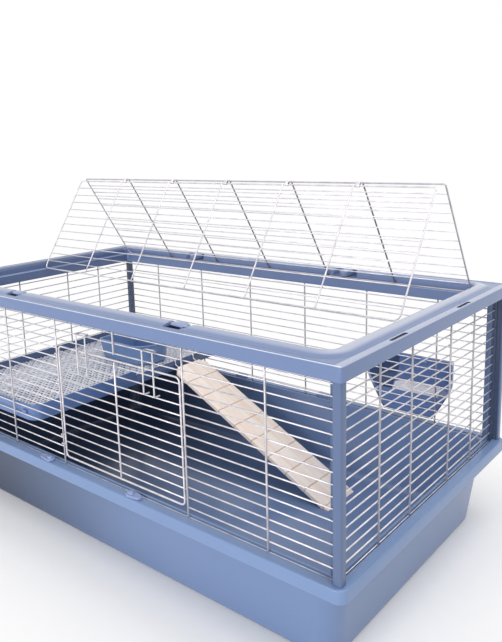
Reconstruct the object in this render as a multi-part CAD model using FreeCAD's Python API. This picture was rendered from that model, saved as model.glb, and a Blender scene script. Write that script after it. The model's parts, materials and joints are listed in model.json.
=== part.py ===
import FreeCAD, Part
import math
import os

V = FreeCAD.Vector

# Rodent cage: deep plastic tray, corner posts, welded wire walls, moulded top frame, folding wire lid.
# Millimetres. X to the right, Y to the back, Z up, origin under the middle of the tray.

# Overall sizes
cage_length = 1000.0
cage_depth = 565.0
rim_height = 150.0
wall_height = 290.0

# Fits
slip = 0.3
weld_gap = 0.05
pin_play = 0.08

# Facets of small round pieces
wire_sides = 8
rod_sides = 6
bend_chords = 2
ring_chords = 8
knob_chords = 5
curl_chords = 7
corner_chords = 6
hole_sides = 16
slot_chords = 3

# Wire walls
upright_wire = 3.0
level_wire = 2.2
wire_inset = 14.7
upright_pitch = 150.0
upright_count = 6
side_upright_shares = (-0.573, -0.237, 0.237, 0.573)
level_pitch = 16.5
first_level_drop = 13.0

# Top frame: flange, flat ledge, rounded bead, inner skirt with the lid's ledge
flange_height = 20.5
flange_wall = 2.5
frame_corner = 5.0
bead_start = 13.0
bead_crest = 33.0
bead_height = 4.0
bead_chords = 4
bead_wall = 2.5
bead_corner = 26.0
mouth_inset = 45.0
lid_ledge = 8.5
lid_back_room = 5.0
lid_ledge_drop = 13.0
skirt_drop = 32.0
ledge_slot_length = 47.0
ledge_slot_width = 6.0
ledge_slot_inset = 6.5
ledge_slot_shares = (-0.451, 0.325)

# Tray
tray_wall = 3.0
tray_draft = 18.0
tray_corner = 34.0
rim_overhang = 4.0
rim_inner = 23.0
rim_plate = 3.0
rim_skirt = 20.0
rim_corner = 14.0
groove_depth = 8.0
groove_wall = 2.2
groove_side_play = 0.6

# Corner posts
post_size = 12.4
post_round = 3.4
nib_size = 14.8
nib_overlap = 2.0
nib_slot_depth = 8.0
peg_size = 5.0
peg_length = 12.0

# Folding lid
lid_end_room = 3.5
lid_shift = 6.5
lid_border_wire = 2.8
lid_cross_wire = 2.8
lid_long_wire = 1.9
lid_corner = 12.0
ridge_corner = 4.0
lid_bay_count = 6
lid_gap_count = 12
lid_rest_angle = 57.5
clip_width = 8.0
clip_wall = 0.9
ridge_gap = 3.0

# Turn latches on the top frame and on the tray rim
latch_share = 0.409
latch_offset = 11.5
latch_inset = 32.5
latch_hub = 10.0
latch_reach = 17.0
latch_tip = 8.5
latch_grip = 5.0
latch_floor_drop = 9.0
latch_room = 1.3
latch_pin = 3.0
latch_pin_head = 1.2
tray_latch_share = 0.212
tray_latch_inset = 5.0
tray_latch_hub = 8.0
tray_latch_reach = 20.0
tray_latch_tip = 6.0
tray_latch_thick = 4.0
tray_latch_grip = 3.5

# Front door
door_first_upright = 2
door_span = 2
door_top_level = 4
door_bottom_level = 16
door_border_wire = 3.0
door_top_margin = 6.0
door_first_drop = 10.5
door_foot_drop = 10.0
door_level_count = 12
door_corner = 9.0
door_edge_gap = 6.0
hinge_ring_wire = 2.0
hinge_ring_levels = (5, 6, 14, 15)

# Door latches: bent wire hooks that slide up off a wall wire
hook_wire = 2.5
hook_width = 23.0
hook_level = 2
hook_foot_level = 2
hook_bend = 2.0
hook_places = (0.24, 0.77)

# Platform
platform_end_gap = 30.0
platform_length = 300.0
platform_wall = 3.0
platform_height = 31.0
platform_rise = 19.0
platform_inset = 21.0
platform_corner = 22.0
platform_floor_drop = 18.5
platform_ledge = 9.0
platform_ledge_wall = 3.0
platform_level_index = 13
lug_width = 12.0
lug_height = 7.0
lug_shares = (0.13, 0.55, 0.91)
mesh_wire = 2.0
mesh_pitch = 10.0
gate_front_room = 142.5
gate_back_room = 67.5
sill_round = 2.2

# Ramp
ramp_width = 96.0
ramp_thick = 8.0
ramp_angle = 27.5
ramp_back_gap = 145.0
ramp_corner = 14.0
ramp_head_out = 14.0
ramp_head_drop = 11.0
ramp_groove = 3.0
ramp_groove_pitch = 49.0
ramp_hook_wire = 2.5
ramp_hook_spacing = 58.0
ramp_hook_tip = 165.0
ramp_hook_hold = 14.0

# Food bowl
bowl_end_gap = 197.5
bowl_back_gap = 191.5
bowl_rim_length = 150.0
bowl_rim_depth = 104.0
bowl_foot_length = 140.0
bowl_foot_depth = 94.0
bowl_height = 45.0
bowl_wall = 2.5
bowl_lip = 2.0
bowl_lip_thick = 2.5
bowl_roundness = 0.45
bowl_square_corner = 0.12

# Hay rack, hung outside the back wall and open to the cage
rack_end_gap = 183.0
rack_width = 184.0
rack_face_width = 108.0
rack_foot_width = 104.0
rack_depth = 68.0
rack_foot_rise = 35.0
rack_straight = 54.0
rack_height = 124.0
rack_wall = 2.5
rack_lip = 46.0
rack_top_drop = 29.0
rack_level_index = 9
rack_hook_width = 12.0
rack_hook_wall = 2.5
rack_hook_drop = 6.0
rack_hook_spacing = 70.0

# Worked-out places
half_length = cage_length / 2
half_depth = cage_depth / 2
frame_top = rim_height + wall_height
groove_floor = rim_height - groove_depth
level_inset = wire_inset + (upright_wire + level_wire) / 2 + weld_gap
post_inset = flange_wall + slip
nib_inset = post_inset + post_size - nib_overlap
wire_end_inset = nib_inset + nib_size - nib_slot_depth + slip
upright_top = frame_top - bead_wall - slip
upright_foot = groove_floor + slip
skirt_inset = mouth_inset + lid_ledge
groove_outer = wire_inset - upright_wire / 2 - groove_side_play
groove_inner = level_inset + level_wire / 2 + groove_side_play
lid_seat = frame_top - lid_ledge_drop
lid_axis_z = lid_seat + slip + lid_border_wire / 2
lid_axis_y = half_depth - mouth_inset - lid_back_room
lid_reach = lid_axis_y
ridge_y = lid_axis_y - lid_reach * math.cos(math.radians(lid_rest_angle))
ridge_z = lid_axis_z + lid_reach * math.sin(math.radians(lid_rest_angle))
ridge_step = lid_border_wire + ridge_gap
lid_length = 2 * (half_length - mouth_inset - lid_end_room - lid_shift)
latch_floor = frame_top - latch_floor_drop
latch_place = latch_share * half_length
tray_latch_place = tray_latch_share * half_length
platform_left = -half_length + platform_end_gap
platform_top = frame_top - first_level_drop - platform_level_index * level_pitch + platform_rise
deck_seat = platform_top - platform_floor_drop
deck_top = deck_seat + slip + 2 * mesh_wire + weld_gap
platform_right = platform_left + platform_length
sill_x = platform_right - platform_wall / 2
sill_z = deck_top + sill_round
ramp_middle = half_depth - ramp_back_gap
gate_front = ramp_middle - gate_front_room
gate_back = ramp_middle + gate_back_room
bowl_middle = V(platform_left + bowl_end_gap, half_depth - bowl_back_gap, 0)
rack_middle = half_length - rack_end_gap
ramp_head_x = sill_x + ramp_head_out
ramp_head_z = sill_z - ramp_head_drop
door_left = (door_first_upright - (upright_count - 1) / 2) * upright_pitch
door_right = door_left + door_span * upright_pitch
door_top = frame_top - first_level_drop - door_top_level * level_pitch + door_top_margin


def level_z(index):
    """Height of a level wire, counted from the top."""
    return frame_top - first_level_drop - index * level_pitch


def level_total():
    """Level wires that fit between the top frame and the tray's groove."""
    room = frame_top - first_level_drop - groove_floor - level_wire / 2 - slip
    return int(room / level_pitch) + 1


def upright_x(index):
    """Place of an upright of the long walls, counted from the left."""
    return (index - (upright_count - 1) / 2) * upright_pitch


def door_level_z(index):
    """Height of a level wire of the door, counted from its top."""
    return door_top - door_first_drop - index * level_pitch


def box(x0, x1, y0, y1, z0, z1):
    """Box between two corners."""
    return Part.makeBox(x1 - x0, y1 - y0, z1 - z0, V(x0, y0, z0))


def section(centre, run, up, across, sides):
    """Corners of a regular section round a centre, one pair of flats square to the up direction."""
    across_way = run.cross(up).normalize()
    high = across_way.cross(run).normalize()
    radius = across / 2 / math.cos(math.pi / sides)
    corners = []
    for i in range(sides):
        angle = (2 * i + 1) * math.pi / sides
        corners.append(centre + across_way * (radius * math.sin(angle)) + high * (radius * math.cos(angle)))
    return corners


def rod(start, end, across, up, sides=rod_sides):
    """Straight wire between two points, with flats as far apart as the wire is thick towards up."""
    run = end - start
    return flat_face(section(start, run, up, across, sides)).extrude(run)


def ridge_reach(across):
    """Distance from a straight wire's middle to its corners."""
    return across / 2 / math.cos(math.pi / rod_sides)


def swept(points, corners, closed):
    """Section given by its corner points, carried along a run of points with mitred turns."""
    count = len(points)
    runs = []
    for i in range(count if closed else count - 1):
        runs.append((points[(i + 1) % count] - points[i]).normalize())
    rings = []
    for i in range(count):
        before = runs[i - 1] if (closed or i > 0) else runs[0]
        after = runs[i] if i < len(runs) else runs[-1]
        mitre = before + after
        along = runs[0] if i == 0 else before
        corners = [c + along * ((points[i] - c).dot(mitre) / along.dot(mitre)) for c in corners]
        rings.append(corners)
    if closed:
        return closed_solid(side_faces(list(zip(rings, rings[1:] + rings[:1]))))
    ends = [flat_face(rings[0]), flat_face(rings[-1])]
    return closed_solid(side_faces(list(zip(rings, rings[1:]))) + ends)


def swept_wire(points, across, up, closed=False):
    """Wire with mitred turns along a run of points."""
    corners = section(points[0], points[1] - points[0], up, across, wire_sides)
    return swept(points, corners, closed)


def rounded_outline(half_x, half_y, radius, z, left_radius=None):
    """Closed run of points of a rectangle with corners turned in short chords, middle on the Z axis."""
    points = []
    for sx, sy, quarter in ((1, 1, 0), (-1, 1, 1), (-1, -1, 2), (1, -1, 3)):
        bend = left_radius if left_radius and sx < 0 else radius
        for i in range(corner_chords + 1):
            angle = (quarter + i / corner_chords) * math.pi / 2
            x = sx * (half_x - bend) + bend * math.cos(angle)
            y = sy * (half_y - bend) + bend * math.sin(angle)
            points.append(V(x, y, z))
    return points


def flat_face(points):
    """Flat face inside a closed run of points."""
    return Part.Face(Part.makePolygon(points + points[:1]))


def closed_solid(faces):
    """Solid from faces that meet along all their edges."""
    solid = Part.Solid(Part.makeShell(faces))
    if solid.Volume < 0:
        solid.reverse()
    return solid


def side_faces(rings):
    """Flat faces between each pair of neighbouring rings of points."""
    faces = []
    for near, far in rings:
        for j in range(len(near)):
            k = (j + 1) % len(near)
            faces.append(flat_face([near[j], near[k], far[k], far[j]]))
    return faces


def tapered_block(lower, upper):
    """Solid between two outlines at different heights that have the same number of points."""
    return closed_solid(side_faces([(lower, upper)]) + [flat_face(lower), flat_face(upper)])


def rounded_plate(half_x, half_y, radius, z0, z1):
    """Flat plate with round corners."""
    return flat_face(rounded_outline(half_x, half_y, radius, z0)).extrude(V(0, 0, z1 - z0))


def inset_plate(inset, radius, z0, z1):
    """Rounded plate a given distance inside the cage's outer faces."""
    return rounded_plate(half_length - inset, half_depth - inset, radius, z0, z1)


def inset_ring(outer, inner, radius, z0, z1):
    """Rounded ring between two insets, with its inner corners following the outer ones."""
    inner_radius = max(radius - (inner - outer), flange_wall)
    hole = inset_plate(inner, inner_radius, z0 - slip, z1 + slip)
    return inset_plate(outer, radius, z0, z1).cut(hole)


def prism_x(points, x0, x1):
    """Straight bar along X from an outline of (y, z) points."""
    return flat_face([V(x0, y, z) for y, z in points]).extrude(V(x1 - x0, 0, 0))


def prism_y(points, y0, y1):
    """Straight bar along Y from an outline of (x, z) points."""
    return flat_face([V(x, y0, z) for x, z in points]).extrude(V(0, y1 - y0, 0))


def bent_route(points, bends, closed=False):
    """Points along straight runs joined by bends, with one radius for each turn."""
    count = len(points)
    route = []
    for i, here in enumerate(points):
        if not closed and i in (0, count - 1):
            route.append(here)
            continue
        bend = bends[i]
        back = (points[i - 1] - here).normalize()
        ahead = (points[(i + 1) % count] - here).normalize()
        half_turn = (math.pi - back.getAngle(ahead)) / 2
        inward = (back + ahead).normalize()
        side = (ahead - back).normalize()
        middle = here + inward * (bend / math.cos(half_turn))
        for j in range(bend_chords + 1):
            turn = half_turn * (2 * j / bend_chords - 1)
            route.append(middle - inward * (bend * math.cos(turn)) + side * (bend * math.sin(turn)))
    return route


def tapered_knob(hub, reach, tip, z0, z1):
    """Plate round a hub at the origin that narrows to a round tip along +X."""
    lean = math.asin((hub - tip) / reach)
    corners = []
    for middle, radius, first, last in ((0, hub, math.pi / 2 - lean, 3 * math.pi / 2 + lean),
                                        (reach, tip, lean - math.pi / 2, math.pi / 2 - lean)):
        for i in range(knob_chords + 1):
            angle = first + (last - first) * i / knob_chords
            corners.append(V(middle + radius * math.cos(angle), radius * math.sin(angle), z0))
    return flat_face(corners).extrude(V(0, 0, z1 - z0))


def snap_pin(base, floor):
    """Pin from a knob's base down through a floor, with a head under it."""
    neck = floor - slip
    pin = Part.makeCylinder(latch_pin, base - neck, V(0, 0, neck))
    across = 2 * (latch_pin + latch_pin_head)
    head = rod(V(0, 0, neck - latch_pin_head), V(0, 0, neck), across, V(0, 1, 0), wire_sides)
    return pin.fuse(head)


def pin_hole(x, y, z0, z1):
    """Upright hole in which a latch's pin turns."""
    return rod(V(x, y, z0), V(x, y, z1), 2 * (latch_pin + pin_play), V(0, 1, 0), hole_sides)


def placed(shape, x, y, turn=0.0):
    """Copy of a shape turned about Z and moved in plan."""
    copy = shape.copy()
    copy.rotate(V(0, 0, 0), V(0, 0, 1), turn)
    copy.translate(V(x, y, 0))
    return copy


def at_corner(shape, sx, sy):
    """Copy of a front-right corner shape, turned in to another corner of the cage."""
    copy = shape.copy()
    if sx < 0:
        copy = copy.mirror(V(0, 0, 0), V(1, 0, 0))
    if sy > 0:
        copy = copy.mirror(V(0, 0, 0), V(0, 1, 0))
    return copy


# Tray


def base_tray():
    """Deep tray with drafted walls, a broad rim, a groove for the wire walls and holes for the post pegs."""
    wall_top = rim_inner - tray_wall
    foot = wall_top + tray_draft
    outer = tapered_block(
        rounded_outline(half_length - foot, half_depth - foot, tray_corner, 0),
        rounded_outline(half_length - wall_top, half_depth - wall_top, tray_corner, rim_height))
    inner_foot = foot + tray_wall - tray_draft * tray_wall / rim_height
    inner_corner = tray_corner - tray_wall
    inner = tapered_block(
        rounded_outline(half_length - inner_foot, half_depth - inner_foot, inner_corner, tray_wall),
        rounded_outline(half_length - rim_inner, half_depth - rim_inner, inner_corner, rim_height))
    plate = inset_plate(-rim_overhang, rim_corner, rim_height - rim_plate, rim_height)
    skirt_foot = rim_height - rim_skirt
    skirt = inset_ring(-rim_overhang, tray_wall - rim_overhang, rim_corner, skirt_foot, rim_height)
    channel_foot = groove_floor - groove_wall
    channel = inset_plate(groove_outer - groove_wall, rim_corner, channel_foot, rim_height)
    groove = inset_ring(groove_outer, groove_inner, rim_corner, groove_floor, rim_height + slip)
    tray = outer.fuse([plate, skirt, channel]).cut(inner).cut(groove)
    for sx in (-1, 1):
        for sy in (-1, 1):
            tray = tray.cut(at_corner(post_peg(slip), sx, sy))
            y = sy * (half_depth - tray_latch_inset)
            tray = tray.cut(pin_hole(sx * tray_latch_place, y, groove_floor, rim_height + slip))
    return tray.removeSplitter()


# Corner posts, drawn for the front right corner


def post_peg(room):
    """Square peg under a post, made larger by the given room for its hole."""
    size = peg_size / 2 + room
    middle = post_inset + peg_size / 2 + slip
    x = half_length - middle
    y = -half_depth + middle
    depth = peg_length + room
    return box(x - size, x + size, y - size, y + size, rim_height - depth, rim_height + room)


def corner_post():
    """Square post with a round outer edge and an inner nib that takes the ends of the level wires."""
    near = half_length - post_inset
    front = -half_depth + post_inset
    top = frame_top - bead_wall
    body = box(near - post_size, near, front, front + post_size, rim_height, top)
    edges = [e for e in body.Edges if e.BoundBox.ZLength > post_size
             and e.BoundBox.XMax > near - slip and e.BoundBox.YMin < front + slip]
    body = body.makeFillet(post_round, edges)
    x1 = half_length - nib_inset
    y0 = -half_depth + nib_inset
    x0 = x1 - nib_size
    y1 = y0 + nib_size
    nib = box(x0, x1, y0, y1, rim_height, frame_top - first_level_drop + level_pitch / 2)
    slot = level_inset + level_wire / 2 + slip
    slot_front = box(x0, x0 + nib_slot_depth, y0, -half_depth + slot, rim_height, frame_top)
    slot_side = box(half_length - slot, x1, y1 - nib_slot_depth, y1, rim_height, frame_top)
    post = body.fuse([nib.cut(slot_front).cut(slot_side), post_peg(0)])
    return post.removeSplitter()


# Top frame


def bead_curve(wall):
    """Bead as (inset, height) points: a soft rise, then a quarter ellipse to the mouth; wall thins it."""
    points = []
    for i in range(bead_chords):
        share = i / bead_chords
        inset = bead_start + share * (bead_crest - bead_start)
        points.append((inset, frame_top + bead_height * (1 - math.cos(math.pi * share)) / 2 - wall))
    edge = frame_top - latch_floor_drop / 2
    for i in range(bead_chords + 1):
        turn = math.pi / 2 * i / bead_chords
        inset = bead_crest + (mouth_inset - bead_crest - wall) * math.sin(turn)
        points.append((inset, edge + (frame_top + bead_height - edge - wall) * math.cos(turn)))
    return points


def frame_section(y):
    """Corners of the thin section of bead and skirt on the front rail, from its outer side at the given y."""
    wall = bead_wall
    step = frame_top - lid_ledge_drop
    foot = frame_top - skirt_drop
    corners = bead_curve(0) + [
        (mouth_inset, step), (skirt_inset, step), (skirt_inset, foot), (skirt_inset - wall, foot),
        (skirt_inset - wall, step - wall), (mouth_inset - wall, step - wall)] + bead_curve(wall)[::-1]
    return [V(0, y + inset, z) for inset, z in corners]


def latch_x(sx, sy):
    """Place of a turn latch along its rail: the frame looks the same when it is turned half round."""
    return sx * latch_place - sy * latch_offset


def latch_pocket(x, side):
    """Block under the bead that a turn latch's recess is cut into; side is -1 in front, 1 behind."""
    floor = latch_floor - bead_wall
    half = latch_reach + latch_tip + latch_room + bead_wall
    outer = latch_inset - latch_hub - latch_room - bead_wall
    curve = bead_curve(bead_wall / 2)
    top = [(inset, z) for inset, z in curve if inset > outer]
    low_inset, low_z = [(inset, z) for inset, z in curve if inset <= outer][-1]
    share = (outer - low_inset) / (top[0][0] - low_inset)
    start = low_z + share * (top[0][1] - low_z)
    corners = [(outer, floor), (outer, start)] + top + [(mouth_inset, top[-1][1]), (mouth_inset, floor)]
    return prism_x([(side * (half_depth - inset), z) for inset, z in corners], x - half, x + half)


def latch_recess(x, side):
    """Room for a turn latch, open towards the lid, with the hole for its pin."""
    outer = latch_inset - latch_hub - latch_room
    half = latch_reach + latch_tip + latch_room
    y_outer = side * (half_depth - outer)
    y_inner = side * (half_depth - mouth_inset - lid_ledge)
    top = frame_top + 2 * bead_height
    room = box(x - half, x + half, min(y_outer, y_inner), max(y_outer, y_inner), latch_floor, top)
    y_pin = side * (half_depth - latch_inset)
    return room.fuse(pin_hole(x, y_pin, latch_floor - latch_floor_drop, latch_floor + slip))


def top_frame():
    """One moulding: flange and flat ledge, bead, skirt with the lid's ledge, latch pockets, end slots."""
    foot = frame_top - flange_height
    outer = inset_plate(0, frame_corner, foot, frame_top)
    hollow = inset_plate(flange_wall, frame_corner - flange_wall / 2, foot, frame_top - bead_wall)
    path = rounded_outline(half_length - bead_crest, half_depth - bead_crest, bead_corner, frame_top)
    front = 3 * (corner_chords + 1) - 1
    shell = swept(path[front:] + path[:front], frame_section(-half_depth), True)
    mouth_radius = bead_corner + bead_crest - bead_start - slip
    opening = inset_plate(bead_start + slip, mouth_radius, foot, frame_top + slip)
    frame = outer.cut(hollow).cut(opening).fuse(shell)
    for corner_name, sx, sy in corner_signs:
        frame = frame.fuse(latch_pocket(latch_x(sx, sy), sy))
    for corner_name, sx, sy in corner_signs:
        frame = frame.cut(latch_recess(latch_x(sx, sy), sy))
    half = ledge_slot_width / 2
    run = (ledge_slot_length - ledge_slot_width) / 2
    for end in (-1, 1):
        for share in ledge_slot_shares:
            y = share * half_depth
            x = end * (half_length - ledge_slot_inset)
            corners = []
            for tip, first in ((run, 0), (-run, math.pi)):
                for i in range(slot_chords + 1):
                    turn = first + math.pi * i / slot_chords
                    corners.append(V(x + half * math.cos(turn), y + tip + half * math.sin(turn), foot))
            frame = frame.cut(flat_face(corners).extrude(V(0, 0, flange_height + slip)))
    return frame.removeSplitter()


def turn_latch():
    """Oval knob with a grip rib and a snap pin, pointing along +X from its pin, drawn about the origin."""
    base = latch_floor + slip
    top = frame_top + bead_height - latch_grip
    knob = tapered_knob(latch_hub, latch_reach, latch_tip, base, top)
    grip = tapered_knob(latch_hub / 2, latch_reach, latch_tip / 2, top, top + latch_grip)
    return knob.fuse([grip, snap_pin(base, latch_floor - bead_wall)]).removeSplitter()


def tray_latch():
    """Flat swivel clip for the tray rim, pointing along +X from its pin, drawn about the origin."""
    base = rim_height + slip
    top = base + tray_latch_thick
    plate = tapered_knob(tray_latch_hub, tray_latch_reach, tray_latch_tip, base, top)
    half_hub = tray_latch_hub / 2
    grip = tapered_knob(half_hub, half_hub, half_hub - slip, top, top + tray_latch_grip)
    return plate.fuse([grip, snap_pin(base, rim_height - rim_plate)]).removeSplitter()


# Wire walls


def long_wall(side):
    """Welded front (-1) or back (1) wall; the front one leaves the door's bay open."""
    y_up = side * (half_depth - wire_inset)
    y_level = side * (half_depth - level_inset)
    reach = half_length - wire_end_inset
    out = V(0, 1, 0)
    wires = []
    for i in range(upright_count):
        x = upright_x(i)
        foot = upright_foot
        if side < 0 and door_left < x < door_right:
            foot = level_z(door_top_level - 1) - level_wire / 2
        if side < 0 and i == door_first_upright:
            wires.append(Part.makeCylinder(upright_wire / 2, upright_top - foot, V(x, y_up, foot)))
        else:
            wires.append(rod(V(x, y_up, foot), V(x, y_up, upright_top), upright_wire, out))
    for k in range(level_total()):
        z = level_z(k)
        runs = [(-reach, reach)]
        if side < 0 and door_top_level <= k <= door_bottom_level:
            runs = [(-reach, door_left + upright_wire / 2), (door_right - upright_wire / 2, reach)]
        for a, b in runs:
            wires.append(rod(V(a, y_level, z), V(b, y_level, z), level_wire, out))
    return Part.makeCompound(wires)


def end_wall(side):
    """Welded left (-1) or right (1) wall."""
    x_up = side * (half_length - wire_inset)
    x_level = side * (half_length - level_inset)
    reach = half_depth - wire_end_inset
    out = V(1, 0, 0)
    wires = []
    for share in side_upright_shares:
        y = share * half_depth
        wires.append(rod(V(x_up, y, upright_foot), V(x_up, y, upright_top), upright_wire, out))
    for k in range(level_total()):
        z = level_z(k)
        wires.append(rod(V(x_level, -reach, z), V(x_level, reach, z), level_wire, out))
    return Part.makeCompound(wires)


# Front door


def front_door():
    """Bent border wire with level wires and one upright welded behind it."""
    y_border = -half_depth + wire_inset
    y_level = -half_depth + level_inset
    left = door_left + door_edge_gap
    right = door_right - door_edge_gap
    foot = door_level_z(door_level_count - 1) - door_foot_drop
    loop = []
    for x, z in ((left, foot), (right, foot), (right, door_top), (left, door_top)):
        loop.append(V(x, y_border, z))
    route = bent_route(loop, [door_corner] * len(loop), closed=True)
    out = V(0, 1, 0)
    wires = [swept_wire(route, door_border_wire, out, closed=True)]
    y_wire = y_border + (door_border_wire + level_wire) / 2 + weld_gap
    y_wire = max(y_wire, y_level)
    for j in range(door_level_count):
        z = door_level_z(j)
        wires.append(rod(V(left, y_wire, z), V(right, y_wire, z), level_wire, out))
    middle = (door_left + door_right) / 2
    stile = (door_border_wire + upright_wire) / 2 + weld_gap
    low = V(middle, y_border, foot + stile)
    wires.append(rod(low, V(middle, y_border, door_top - stile), upright_wire, out))
    return Part.makeCompound(wires)


def door_hinge_rings():
    """Wire rings welded to the door's edge, loose round the upright that carries it."""
    y = -half_depth + wire_inset
    rings = []
    radius = door_edge_gap - (door_border_wire + hinge_ring_wire) / 2 - weld_gap
    for k in hinge_ring_levels:
        middle = V(door_left, y, level_z(k) + level_pitch / 2)
        route = []
        for i in range(ring_chords):
            turn = (2 * i + 1) * math.pi / ring_chords
            corner = radius / math.cos(math.pi / ring_chords)
            route.append(middle + V(corner * math.cos(turn), corner * math.sin(turn), 0))
        rings.append(swept_wire(route, hinge_ring_wire, V(0, 0, 1), closed=True))
    return Part.makeCompound(rings)


def door_latch(share):
    """Hairpin of bent wire: two legs in front of the door and a hook over a wall wire above it."""
    left = door_left + share * (door_right - door_left) - hook_width / 2
    y_front = -half_depth + wire_inset - (max(door_border_wire, upright_wire) + hook_wire) / 2 - slip
    y_back = -half_depth + level_inset + (level_wire + hook_wire) / 2 + 2 * slip
    z_foot = door_level_z(hook_foot_level) + (level_wire + hook_wire) / 2 + slip
    z_top = level_z(hook_level) + (level_wire + hook_wire) / 2 + slip
    y_foot = y_back + hook_wire
    legs = []
    for x in (left, left + hook_width):
        front = V(x, y_front, z_foot)
        legs.append([V(x, y_foot, z_foot), front, V(x, y_front, z_top), V(x, y_back, z_top)])
    corners = legs[0] + legs[1][::-1]
    route = bent_route(corners, [hook_bend] * len(corners))
    return swept_wire(route, hook_wire, V(1, 0, 0))


# Folding lid, built flat with its back wire on the hinge axis, then raised


def lid_panel(start, reach, bends):
    """Flat welded panel, from start to reach towards -Y: bent border, long wires and cross wires."""
    half = lid_length / 2
    loop = [V(-half, -start, 0), V(half, -start, 0), V(half, -reach, 0), V(-half, -reach, 0)]
    up = V(0, 0, 1)
    wires = [swept_wire(bent_route(loop, bends, closed=True), lid_border_wire, up, closed=True)]
    z_cross = (lid_border_wire + lid_cross_wire) / 2 + weld_gap
    z_long = z_cross - (lid_cross_wire + lid_long_wire) / 2 - weld_gap
    for i in range(1, lid_bay_count):
        x = -half + i * lid_length / lid_bay_count
        wires.append(rod(V(x, -start, z_cross), V(x, -reach, z_cross), lid_cross_wire, up))
    side = half - (lid_border_wire) / 2 - weld_gap
    for i in range(1, lid_gap_count):
        y = -start - i * (reach - start) / lid_gap_count
        wires.append(rod(V(-side, y, z_long), V(side, y, z_long), lid_long_wire, up))
    return Part.makeCompound(wires)


def raised(shape, turn):
    """Lid shape moved from the flat drawing to the hinge axis and turned up."""
    shape.rotate(V(0, 0, 0), V(-1, 0, 0), turn)
    return shape


def lid_rear_panel():
    """Back half of the lid, hinged in the back rail."""
    panel = lid_panel(0, lid_reach, [lid_corner, lid_corner, ridge_corner, ridge_corner])
    panel.translate(V(lid_shift, 0, 0))
    panel = raised(panel, lid_rest_angle)
    panel.translate(V(0, lid_axis_y, lid_axis_z))
    return panel


def lid_front_panel():
    """Front half of the lid, hung from the ridge, its front wire on the ledges of the end rails."""
    panel = lid_panel(ridge_step, lid_reach, [ridge_corner, ridge_corner, lid_corner, lid_corner])
    panel.translate(V(-lid_shift, 0, 0))
    panel = raised(panel, -lid_rest_angle)
    panel.translate(V(0, ridge_y, ridge_z))
    return panel


def clip_outline(radius, x):
    """Closed outline round both ridge wires, its flats the given radius from their middles."""
    corner = radius / math.cos(math.pi / wire_sides)
    points = []
    for y, first in ((0, -1), (-ridge_step, 1)):
        for i in range(wire_sides // 2):
            turn = (2 * i + 1) * math.pi / wire_sides - math.pi / 2
            points.append(V(x, y - first * corner * math.cos(turn), -first * corner * math.sin(turn)))
    return points


def lid_clips():
    """Crimped sleeves round both ridge wires; they ride with the front half, turn on the back half's wire."""
    clips = []
    inner = lid_border_wire / 2 / math.cos(math.pi / wire_sides) + pin_play
    outer = inner + clip_wall
    for i in range(1, lid_bay_count):
        x = -lid_length / 2 + i * lid_length / lid_bay_count - clip_width / 2
        sleeve = flat_face(clip_outline(outer, x)).extrude(V(clip_width, 0, 0))
        clips.append(sleeve.cut(flat_face(clip_outline(inner, x)).extrude(V(clip_width, 0, 0))))
    group = raised(Part.makeCompound(clips), -lid_rest_angle)
    group.translate(V(0, ridge_y, ridge_z))
    return group


# Platform


def platform_frame():
    """Shallow frame with a ledge for the mesh, lugs on the wall wires and a low gate with a round sill."""
    middle_x = (platform_left + platform_right) / 2
    half_x = platform_length / 2
    half_y = half_depth - platform_inset
    foot = platform_top - platform_height
    wall = platform_wall

    def plate(inset, z0, z1):
        corner = platform_corner - min(inset, platform_corner - wall)
        part = rounded_plate(half_x - inset, half_y - inset, corner, z0, z1)
        part.translate(V(middle_x, 0, 0))
        return part

    shell = plate(0, foot, platform_top).cut(plate(wall, foot, platform_top))
    ledge = plate(wall / 2, deck_seat - platform_ledge_wall, deck_seat).cut(
        plate(wall + platform_ledge, deck_seat - platform_ledge_wall, deck_seat))
    frame = shell.fuse(ledge)
    rise = platform_top - sill_z
    outline = [(gate_front, sill_z), (gate_back, sill_z),
               (gate_back + rise / 2, platform_top + slip), (gate_front - rise / 2, platform_top + slip)]
    frame = frame.cut(prism_x(outline, platform_right - 2 * wall, platform_right + slip))
    sill_start = V(sill_x, gate_front - wall, sill_z)
    sill = Part.makeCylinder(sill_round, gate_back - gate_front + 2 * wall, sill_start, V(0, 1, 0))
    frame = frame.fuse(sill)
    seat = level_z(platform_level_index) + ridge_reach(level_wire) + weld_gap
    reach = platform_inset - level_inset + level_wire / 2
    for side in (-1, 1):
        y_wall = side * (half_y - wall / 2)
        y_out = side * (half_y + reach)
        for share in lug_shares:
            x = platform_left + share * platform_length
            y0 = min(y_wall, y_out)
            y1 = max(y_wall, y_out)
            lug = box(x - lug_width / 2, x + lug_width / 2, y0, y1, seat, seat + lug_height)
            frame = frame.fuse(lug)
    return frame.removeSplitter()


def corner_trim(gap):
    """Length that a deck wire loses at each end to the frame's round corner, by its gap to the side."""
    inner = platform_corner - platform_wall
    short = max(inner - gap + mesh_wire / 2, 0)
    return inner - math.sqrt(inner ** 2 - short ** 2)


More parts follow.
